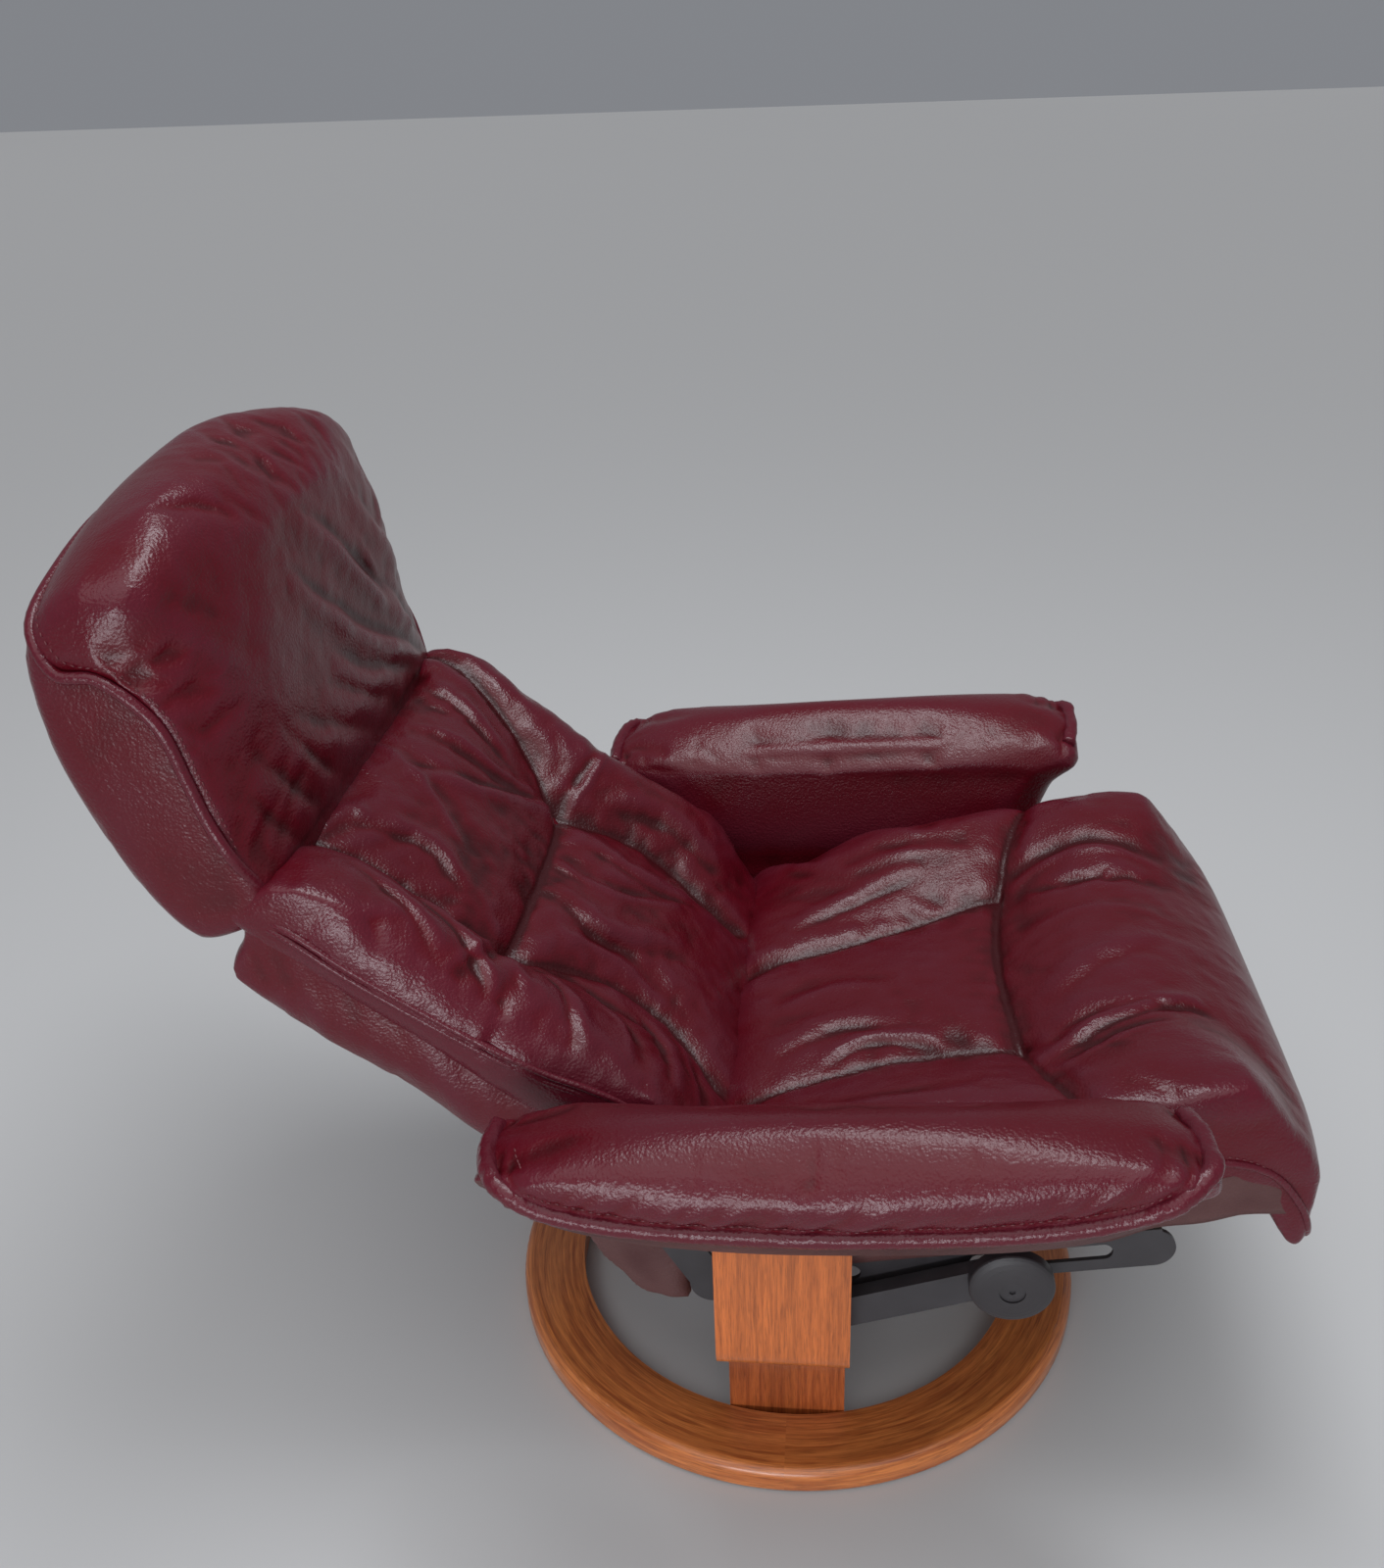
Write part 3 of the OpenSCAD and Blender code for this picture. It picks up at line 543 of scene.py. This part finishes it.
def stitches(name, skin, points, pitch=0.0065, length=0.0045, width=0.0007, lift=0.0003):
    line = smooth_line(points, 6)
    steps = np.linalg.norm(np.diff(line, axis=0), axis=1)
    run = np.concatenate([[0], np.cumsum(steps)])
    bm = bmesh.new()
    for at in np.arange(pitch, run[-1] - pitch, pitch):
        ends = [Vector([np.interp(at + s * length / 2, run, line[:, k]) for k in range(3)]) for s in (-1, 1)]
        middle = (ends[0] + ends[1]) / 2
        spot, normal = skin.find_nearest(middle)[:2]
        if spot is None or (ends[1] - ends[0]).length < 1e-5:
            continue
        along = (ends[1] - ends[0]).normalized()
        side = normal.cross(along).normalized()
        up = along.cross(side)
        turned = Matrix((along, side, up)).transposed().to_4x4()
        shape = Matrix.Translation(spot + normal * lift) @ turned @ Matrix.Diagonal((length / 2, width, width, 1))
        bmesh.ops.create_icosphere(bm, subdivisions=1, radius=1.0, matrix=shape)
    return keep(name, bm, thread)


def whole(vector):
    return np.array(vector, float) * 0.001


arm_x = 0.365
arm_half = 0.059
arm_side = [(230, 446), (216, 468), (160, 488), (30, 500), (-100, 508), (-200, 512), (-264, 511), (-300, 503),
            (-317, 486), (-312, 462), (-290, 436), (-262, 416), (-229, 398), (-156, 386), (-42, 378), (73, 380),
            (151, 392), (200, 412)]
welt_side = [(214, 478), (200, 464), (168, 450), (110, 440), (28, 436), (-42, 438), (-146, 446), (-214, 458),
             (-259, 472), (-284, 486), (-300, 498)]

bm = outline_block(arm_side, 1000 * arm_half - 3, 26)
arm_pad = keep("Arm_pad_right", bm, oxblood)
remeshed(arm_pad, 0.006)
spots = spots_of(arm_pad)
welt = smooth_line(whole(welt_side), 6)
welt_height = np.interp(spots[:, 1], welt[::-1, 0], welt[::-1, 1])
front_taper = 0.10 * ease(-spots[:, 1], 0.27, 0.34) * (spots[:, 0] < 0)
spots[:, 0] *= 1 - front_taper - 0.14 * ease(spots[:, 1], 0.16, 0.24)
tuck = np.clip((welt_height + 0.002 - spots[:, 2]) / 0.066, 0, 1)
spots[:, 0] *= 1 - 0.80 * tuck * (spots[:, 0] < 0)
spots[:, 2] -= 0.014 * ease(spots[:, 0], -0.01, 0.056) * ease(spots[:, 2], 0.44, 0.49)
apron = ease(spots[:, 0], 0.024, 0.052) * ease(0.455 - spots[:, 2], 0.0, 0.05)
apron *= ease(spots[:, 1] + 0.30, 0.0, 0.06) * ease(0.215 - spots[:, 1], 0.0, 0.05)
spots[:, 0] += 0.022 * apron
spots[:, 2] -= 0.080 * apron
move_to(arm_pad, spots)
gap, along = gap_to(welt, spots[:, 1:])
puffed(arm_pad, ((spots[:, 2] < welt_height - 0.004) & (spots[:, 0] < 0.02)) | (spots[:, 2] < 0.35)
       | ((gap < 0.004) & (spots[:, 0] < -0.02)), 4.0, 0.009)
subdivided(arm_pad)
spots, normals = spots_of(arm_pad), facing_of(arm_pad)
gap, along = gap_to(welt, spots[:, 1:])
outside = ease(-spots[:, 0], 0.0, 0.03)
shear = spots[:, 1] + 1.1 * (spots[:, 2] - 0.45)
ripple = rumple(np.column_stack([shear, spots[:, 2] * 0.14, spots[:, 0] * 0.2]), (1, 1, 1), 66, 4)
finer = rumple(np.column_stack([shear, spots[:, 2] * 0.2, spots[:, 0] * 0.3]), (1, 1, 1), 150, 9)
close = np.exp(-((gap - 0.018) / 0.016) ** 2)
rise = outside * close * (0.0024 * ripple + 0.0011 * finer)
rise -= outside * 0.0030 * np.exp(-(gap / 0.004) ** 2)
welt_height = np.interp(spots[:, 1], welt[::-1, 0], welt[::-1, 1])
rise -= outside * 0.0012 * np.exp(-((gap - 0.011) / 0.0022) ** 2) * (spots[:, 2] > welt_height)
rise += 0.0010 * rumple(spots, (0.7, 0.3, 1.0), 20, 2)
tips = np.maximum(ease(spots[:, 1], 0.17, 0.225), ease(-spots[:, 1], 0.28, 0.325))
gathers = rumple(np.column_stack([spots[:, 0], spots[:, 1] * 0.2, spots[:, 2] * 0.9]), (1, 1, 1), 95, 6)
rise += tips * 0.0022 * gathers
move_to(arm_pad, spots + normals * rise[:, None])
mark_rise(arm_pad)

below = (spots[:, 2] < np.minimum(welt_height - 0.004, 0.47)) & (np.abs(normals[:, 2] + 0.6) < 0.75)
below &= spots[:, 0] < 0.02
arm_pad.data.materials.append(split_hide)
faces = np.zeros(len(arm_pad.data.polygons), int)
for face in arm_pad.data.polygons:
    if all(below[v] for v in face.vertices):
        faces[face.index] = 1
arm_pad.data.polygons.foreach_set("material_index", faces)
arm_pad.data.transform(Matrix.Translation((-arm_x, 0, 0)))
skin = skin_of(arm_pad)


def on_arm(y, z, out=-0.50):
    hit = skin.ray_cast(Vector((out, y, z)), Vector((1, 0, 0)))
    return hit[0] if hit[0] is not None else Vector((-arm_x - arm_half * 0.7, y, z))


outer_run = [on_arm(y * 0.001, z * 0.001) + Vector((-0.002, 0, -0.001)) for y, z in welt_side[1:-1]]
rear_over = [(-0.325, 0.229, 0.462), (-0.365, 0.230, 0.470), (-0.400, 0.220, 0.474)]
front_over = [(-0.400, -0.312, 0.504), (-0.378, -0.316, 0.505), (-0.350, -0.314, 0.502), (-0.322, -0.306, 0.492)]
rear_run, front_run = ([skin.find_nearest(Vector(p))[0] for p in over] for over in (rear_over, front_over))
roll_path = rear_run + outer_run + front_run
welt_roll = tube("Arm_welt_right", roll_path, 0.0080, oxblood)
remeshed(welt_roll, 0.0028)
spots, normals = spots_of(welt_roll), facing_of(welt_roll)
slant = np.column_stack([spots[:, 1] + 0.3 * spots[:, 2], spots[:, 2], spots[:, 0] * 0.3])
gathers = rumple(slant, (1, 0.8, 1), 210, 5)
ends = 0.35 + 0.65 * np.maximum(ease(spots[:, 1], 0.12, 0.22), ease(-spots[:, 1], 0.22, 0.31))
move_to(welt_roll, spots + normals * (0.0013 * gathers * ends)[:, None])
mark_rise(welt_roll)
thread_path = [on_arm(y * 0.001, z * 0.001 + 0.012) for y, z in welt_side[1:-1]]
arm_thread = stitches("Arm_stitches_right", skin, thread_path)

for piece, node in ((arm_pad, "arm_pad"), (welt_roll, None), (arm_thread, None)):
    mirrored = bpy.data.objects.new(piece.name.replace("right", "left"), piece.data.copy())
    scene.collection.objects.link(mirrored)
    mirrored.data.transform(Matrix.Scale(-1, 4, (1, 0, 0)))
    mirrored.data.flip_normals()
    for side, part in (("right", piece), ("left", mirrored)):
        if node:
            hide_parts(node + "_" + side, "arm_board_" + side)
        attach(part, "carrier")


# Seat cushion: a deep pocketed pad in hide, sewn down along two lengthwise seams and one cross seam. Its front
# rolls over the frame and droops, and a stitched piping runs along its sides and under that front edge.
seat_place = Matrix.Translation((0, -0.193, 0.275)) @ Matrix.Rotation(math.radians(-10), 4, "X")
seat_side = [(236, 44), (250, 84), (216, 118), (110, 121), (0, 120), (-110, 122), (-190, 123), (-238, 108),
             (-266, 76), (-274, 44), (-266, 6), (-258, -24), (-244, -26), (-228, 6), (-214, 36), (-150, 40),
             (0, 40), (150, 40)]
seat_seams = [
    [(48, 236), (76, 135), (102, 57), (130, -23), (136, -38)],
    [(-172, 236), (-140, 133), (-126, 69), (-124, -43)],
    [(262, -84), (200, -58), (136, -42), (72, -32), (-10, -29), (-106, -36), (-146, -41), (-186, -52),
     (-262, -78)],
]
seat_folds = [
    ([(152, -46), (168, -88), (173, -150), (150, -215)], 11, -5.0),
    ([(-163, -46), (-124, -107), (-113, -143), (-96, -205)], 10, 5.5),
    ([(-180, -60), (-150, -120), (-140, -170)], 9, -4.0),
    ([(-60, -60), (-20, -120), (10, -190)], 16, 2.5),
    ([(60, -50), (80, -120), (60, -200)], 16, -2.5),
    ([(110, 190), (150, 120), (180, 40)], 12, 3.5),
    ([(-100, 200), (-60, 130), (-70, 60)], 13, 3.5),
    ([(-20, 200), (10, 140), (0, 70)], 14, -3.0),
    ([(200, 130), (215, 60), (210, -20)], 12, -3.0),
    ([(-190, 160), (-205, 80), (-200, 0)], 12, -3.0),
    ([(-120, 150), (-90, 100), (-100, 30)], 9, 3.5),
]


def seat_form(spots):
    x, u, w = spots.T.copy()
    side = np.abs(x) / 0.270
    front = ease(-u, 0.15, 0.276)
    x *= 1 - 0.05 * front
    u += 0.013 * side ** 4 * front
    top = ease(w, 0.05, 0.12)
    w += top * 0.034 * ease(side, 0.38, 0.96) * ease(0.21 - u, 0, 0.14) * ease(u + 0.262, 0, 0.05)
    w -= top * 0.006 * np.exp(-((u - 0.05) / 0.12) ** 2) * np.exp(-(x / 0.15) ** 2)
    return np.column_stack([x, u, w])


def seam_gaps(seams, spots, whole_line=8):
    return [gap_to(smooth_line(whole(seam), whole_line), spots) for seam in seams]


seat = keep("Seat_cushion", outline_block(seat_side, 268, 26), oxblood)
remeshed(seat, 0.0065)
spots = seat_form(spots_of(seat))
top = ease(spots[:, 2], 0.07, 0.10)
sewn = spots[:, 2] < 0.046
for gap, along in seam_gaps(seat_seams, spots[:, :2]):
    spots[:, 2] -= top * 0.008 * np.exp(-(gap / 0.016) ** 2)
    sewn |= (gap < 0.0045) & (top > 0.5)
move_to(seat, spots)
puffed(seat, sewn, 4.0, 0.022)
subdivided(seat)


def worked(piece, seams, folds, upper, plan, grain=0.0016, seed=1):
    spots, normals = spots_of(piece), facing_of(piece)
    flat = plan(spots)
    side = upper(spots)
    rise = np.zeros(len(spots))
    wander = 0.006 * np.column_stack([rumple(spots, (1, 1, 1), 14, seed + k) for k in (5, 8)])
    for gap, along in seam_gaps(seams, flat):
        rise -= 0.0032 * np.exp(-(gap / 0.0032) ** 2)
        pull = rumple(np.column_stack([along * 1.6, gap * 4, gap * 0]), (1, 1, 1), 9, seed)
        rise += 0.0020 * pull * np.exp(-((gap - 0.016) / 0.016) ** 2)
    for line, width, height in folds:
        gap, along = gap_to(smooth_line(whole(line), 8), flat + wander, signed=True)
        rise += fold(gap, along, width * 0.001, height * 0.001)
    broad, small = rumple(spots, (1.0, 0.45, 1.0), 26, seed), rumple(spots, (1, 0.6, 1), 70, seed + 2)
    rise += grain * broad + grain * 0.5 * small
    move_to(piece, spots + normals * (side * rise)[:, None])
    mark_rise(piece)


worked(seat, seat_seams, seat_folds, lambda s: ease(s[:, 2], 0.06, 0.09), lambda s: s[:, :2], seed=3)
skin = skin_of(seat)
edge_run = whole([(110, 84), (40, 90), (-60, 96), (-130, 95), (-185, 86), (-222, 62), (-244, 21), (-250, -12)])


def on_seat_side(sign, u, w):
    hit = skin.ray_cast(Vector((sign * 0.5, u, w)), Vector((-sign, 0, 0)))
    return hit[0] if hit[0] is not None else skin.find_nearest(Vector((sign * 0.262, u, w)))[0]


lip_path = [on_seat_side(-1, u, w) for u, w in edge_run]
lip_path += [skin.find_nearest(Vector((x, -0.252, -0.030)))[0] for x in (-0.23, -0.15, -0.05, 0.05, 0.15, 0.23)]
lip_path += [on_seat_side(1, u, w) for u, w in edge_run[::-1]]
seat_lip = tube("Seat_lip", lip_path, 0.0034, oxblood)
mark_rise(seat_lip)
seat_thread = stitches("Seat_stitches", skin, [p + Vector((0, 0.004, 0.008)) for p in lip_path[1:7]])
far_thread = stitches("Seat_stitches_left", skin, [p + Vector((0, 0.004, 0.008)) for p in lip_path[-7:-1]])
for piece in (seat_lip, seat_thread, far_thread):
    piece.data.transform(seat_place)
    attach(piece, "seat")
seat.data.transform(seat_place)
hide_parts("seat_cushion")
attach(seat, "seat")


# Seat border: a band of dull hide sewn under the cushion's sides. It hangs over the steel side plates.
for side, sign in (("right", -1), ("left", 1)):
    bm = bmesh.new()
    bmesh.ops.create_grid(bm, x_segments=70, y_segments=8, size=0.5)
    for v in bm.verts:
        run, drop = v.co.x + 0.5, 0.5 - v.co.y
        u = -0.236 + 0.434 * run
        low = 0.014 + 0.012 * float(ease(np.array(-u), 0.08, 0.13)) * float(ease(np.array(u), -0.240, -0.190))
        wave = 0.0010 * noise.noise(Vector((u * 35, drop * 2, 9)))
        inset = 0.020 * float(ease(np.array(-u), 0.15, 0.276))
        v.co = (sign * (0.2700 - inset + wave), u, 0.070 + (low - 0.070) * drop)
    bmesh.ops.recalc_face_normals(bm, faces=bm.faces)
    border = keep(f"Seat_border_{side}", bm, split_hide)
    thickness = border.modifiers.new("Thickness", "SOLIDIFY")
    thickness.thickness = 0.0025
    thickness.offset = 0
    settled(border)
    mark_rise(border)
    border.data.transform(seat_place)
    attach(border, "seat")


# Seat skirt: a gathered flap of dull hide, tacked to the rear of the seat's frame. It hangs behind and under the
# seat and hides the frame.
skirt_side = [(182, 262), (174, 236), (150, 200), (126, 177), (104, 177), (89, 176), (90, 198), (86, 228),
              (64, 246), (28, 250), (28, 262), (90, 264), (150, 267)]
skirt = keep("Seat_skirt", outline_block(skirt_side, 238, 8), split_hide)
remeshed(skirt, 0.0045)
spots, normals = spots_of(skirt), facing_of(skirt)
low = ease(0.245 - spots[:, 2], 0.0, 0.05)
frill = rumple(np.column_stack([spots[:, 0], spots[:, 1] * 0.5, spots[:, 2] * 0.15]), (1, 1, 1), 75, 6)
move_to(skirt, spots + normals * (0.0065 * low * frill)[:, None])
mark_rise(skirt)
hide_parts("seat_skirt")
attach(skirt, "seat")


# Back cushion: a puffed pad in hide with two long wandering seams and a cross seam between them. A double row of
# piping runs down each side edge, where the pad is sewn to the shell.
back_place = Matrix.Translation((0, 0.105, 0.300)) @ Matrix.Rotation(math.radians(-52), 4, "X")
back_side = [(-20, 448), (-50, 450), (-66, 426), (-69, 330), (-67, 220), (-71, 110), (-72, 34), (-64, -22),
             (-42, -44), (-20, -40)]
back_seams = [
    [(246, 450), (205, 353), (168, 286), (130, 233), (149, 160), (147, 94), (129, 40), (122, 0)],
    [(-158, 440), (-146, 364), (-151, 322), (-154, 285), (-141, 231), (-109, 173), (-92, 120), (-102, 61),
     (-144, 0)],
    [(130, 233), (60, 228), (-40, 229), (-141, 231)],
]
back_folds = [
    ([(-141, 231), (-197, 258), (-256, 279)], 8, -4.5),
    ([(130, 233), (190, 236), (246, 229)], 8, -3.5),
    ([(130, 240), (60, 300), (-10, 400)], 11, 4.5),
    ([(120, 250), (90, 320), (70, 420)], 10, -4.0),
    ([(40, 430), (0, 360), (-60, 300)], 12, -3.5),
    ([(-100, 420), (-80, 350), (-110, 290)], 11, 4.0),
    ([(180, 420), (150, 350), (140, 290)], 11, 3.5),
    ([(60, 220), (40, 160), (90, 90)], 13, -4.5),
    ([(0, 215), (-30, 150), (10, 70)], 15, 4.5),
    ([(100, 200), (90, 130), (110, 60)], 11, 4.0),
    ([(-60, 200), (-50, 130), (-70, 60)], 11, -4.0),
    ([(180, 200), (200, 120), (190, 40)], 13, 4.0),
    ([(-170, 400), (-215, 330), (-240, 290)], 10, 4.0),
    ([(-165, 330), (-205, 280), (-245, 235)], 9, 4.5),
    ([(-150, 200), (-200, 170), (-245, 150)], 9, 4.5),
    ([(-130, 150), (-185, 110), (-240, 100)], 10, -4.0),
    ([(-120, 90), (-170, 60), (-225, 60)], 9, 4.5),
    ([(-130, 40), (-180, 25), (-220, 20)], 8, -3.5),
]


def back_form(spots):
    x, y, z = spots.T.copy()
    side = np.abs(x) / 0.262
    front = ease(-y, 0.03, 0.065)
    y -= front * 0.028 * ease(side, 0.48, 0.90) * ease(0.46 - z, -0.04, 0.08) * ease(z, -0.02, 0.09)
    x *= 1 - 0.06 * ease(0.08 - z, 0, 0.12)
    return np.column_stack([x, y, z])


back = keep("Back_cushion", outline_block(back_side, 262, 20), oxblood)
remeshed(back, 0.0065)
spots = back_form(spots_of(back))
front = ease(-spots[:, 1], 0.035, 0.055)
sewn = spots[:, 1] > -0.028
for gap, along in seam_gaps(back_seams, spots[:, [0, 2]]):
    spots[:, 1] += front * 0.010 * np.exp(-(gap / 0.016) ** 2)
    sewn |= (gap < 0.0045) & (front > 0.5)
move_to(back, spots)
puffed(back, sewn, 4.5, 0.022, 0.004)
subdivided(back)
worked(back, back_seams, back_folds, lambda s: ease(-s[:, 1], 0.03, 0.05), lambda s: s[:, [0, 2]], 0.002, 7)
back.data.transform(back_place)
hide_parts("back_cushion")
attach(back, "back")

# Back shell: the padded outside of the back, in the same hide, with smooth sides that dent between the frame's
# tubes. The double piping sits where it meets the cushion.
shell_side = [(-44, 434), (-10, 436), (24, 428), (34, 390), (34, 200), (34, 90), (26, 30), (0, 8), (-30, 14),
              (-44, 40), (-46, 200)]
shell = keep("Back_shell", outline_block(shell_side, 262, 16), oxblood)
remeshed(shell, 0.0065)
spots = spots_of(shell)
spots[:, 0] *= 1 - 0.14 * ease(0.14 - spots[:, 2], 0, 0.16)
move_to(shell, spots)
puffed(shell, (spots[:, 1] < -0.03) | (spots[:, 2] > 0.42), 2.0, 0.010, 0.0, 10)
subdivided(shell)
spots, normals = spots_of(shell), facing_of(shell)
x, y, z = spots.T
dents = rumple(np.column_stack([x, y + 0.5 * z, z * 0.4]), (1, 1, 1), 16, 3)
finer = rumple(np.column_stack([x, y + 0.8 * z, z * 0.3]), (1, 1, 1), 48, 8)
move_to(shell, spots + normals * (0.0035 * dents + 0.0014 * finer)[:, None])
mark_rise(shell)
shell.data.transform(back_place)
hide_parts("back_shell")
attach(shell, "back")

for side, sign in (("right", -1), ("left", 1)):
    for row, depth in enumerate((-4, 3.5)):
        run = [(262, -42, 424), (267, -47, 398), (269, -48, 350), (269, -52, 278), (269, -57, 223),
               (268, -64, 170), (266, -72, 136), (262, -78, 90), (256, -74, 30)]
        path = [back_place @ Vector(whole((sign * x, y + depth, z))) for x, y, z in run]
        cord = tube(f"Back_piping_{side}_{row + 1}", path, 0.0032, oxblood)
        mark_rise(cord)
        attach(cord, "back")


# Head cushion: a big soft pillow in hide over its own steel frame, with a round piped lip along its top and front
# edges. Plain side panels close it under the lip.
head_place = Matrix.Translation((0, 0.4402, 0.5873)) @ Matrix.Rotation(math.radians(-17), 4, "X")
head_side = [(-40, 14), (-50, 60), (-56, 124), (-70, 200), (-82, 280), (-84, 318), (-68, 336), (-20, 341),
             (24, 332), (54, 302), (70, 240), (76, 160), (68, 65), (44, 2), (10, -6), (-20, 2)]
head_folds = [
    ([(236, 40), (150, 110), (40, 200), (-40, 260)], 13, 5.5),
    ([(215, 26), (110, 80), (0, 150), (-90, 220)], 12, 5.0),
    ([(160, 24), (70, 60), (-50, 130)], 13, 3.5),
    ([(238, 110), (170, 170), (100, 240)], 16, 2.4),
    ([(95, 22), (20, 55), (-90, 115)], 13, 2.6),
    ([(20, 22), (-60, 55), (-150, 115)], 13, 2.8),
    ([(-80, 22), (-130, 55), (-190, 125)], 12, 2.4),
    ([(-150, 22), (-190, 60), (-228, 130)], 12, 2.4),
    ([(-200, 20), (-225, 50), (-243, 100)], 11, 1.8),
    ([(240, 180), (195, 230), (140, 290)], 18, 1.8),
    ([(180, 90), (120, 140), (80, 200)], 10, -3.0),
]


def head_form(spots):
    x, y, z = spots.T.copy()
    side = np.abs(x) / 0.262
    upper = ease(z, 0.12, 0.33)
    z += upper * (0.007 - 0.050 * side ** 2.4)
    y += (0.012 * side ** 4 + 0.024 * upper * side ** 3) * ease(-y, 0.0, 0.06)
    return np.column_stack([x, y, z])


head = keep("Head_cushion", outline_block(head_side, 262, 24), oxblood)
remeshed(head, 0.0065)
move_to(head, head_form(spots_of(head)))
spots = spots_of(head)
lip_run = [(52, 262), (30, 246), (2, 233), (-17, 207), (-27, 178), (-26, 140), (-25, 100), (-29, 60), (-31, 10)]
lip_side = smooth_line(whole(lip_run), 6)
gap, along = gap_to(lip_side, spots[:, 1:])
edge = ease(np.abs(spots[:, 0]), 0.215, 0.24)
puffed(head, ((gap < 0.005) & (edge > 0.5)) | (spots[:, 2] < 0.03), 3.0, 0.014)
subdivided(head)
worked(head, [], head_folds, lambda s: ease(-s[:, 1], 0.0, 0.03), lambda s: s[:, [0, 2]], 0.0012, 5)
skin = skin_of(head)


def on_head(side, y, z):
    hit = skin.ray_cast(Vector((side * 0.5, y, z)), Vector((-side, 0, 0)))
    return hit[0] if hit[0] is not None else skin.find_nearest(Vector((side * 0.262, y, z)))[0]


def over_head(x, y, z):
    return skin.find_nearest(Vector((x, y, z)))[0]


lip_path = [on_head(-1, y, z) + Vector((-0.003, 0, 0.001)) for y, z in whole(lip_run[:0:-1])]
across = (-0.256, -0.18, -0.09, 0, 0.09, 0.18, 0.256)
lip_path += [over_head(x, 0.058, 0.352 - 0.052 * (abs(x) / 0.262) ** 2.4) for x in across]
lip_path += [on_head(1, y, z) + Vector((0.003, 0, 0.001)) for y, z in whole(lip_run[1:])]
lip = tube("Head_lip", lip_path, 0.0050, oxblood)
mark_rise(lip)
head_thread = stitches("Head_stitches", skin, [p + Vector((0.0, -0.012, 0.004)) for p in lip_path[1:-1]])
for piece in (head, lip, head_thread):
    piece.data.transform(head_place)
    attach(piece, "head")
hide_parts("head_cushion")
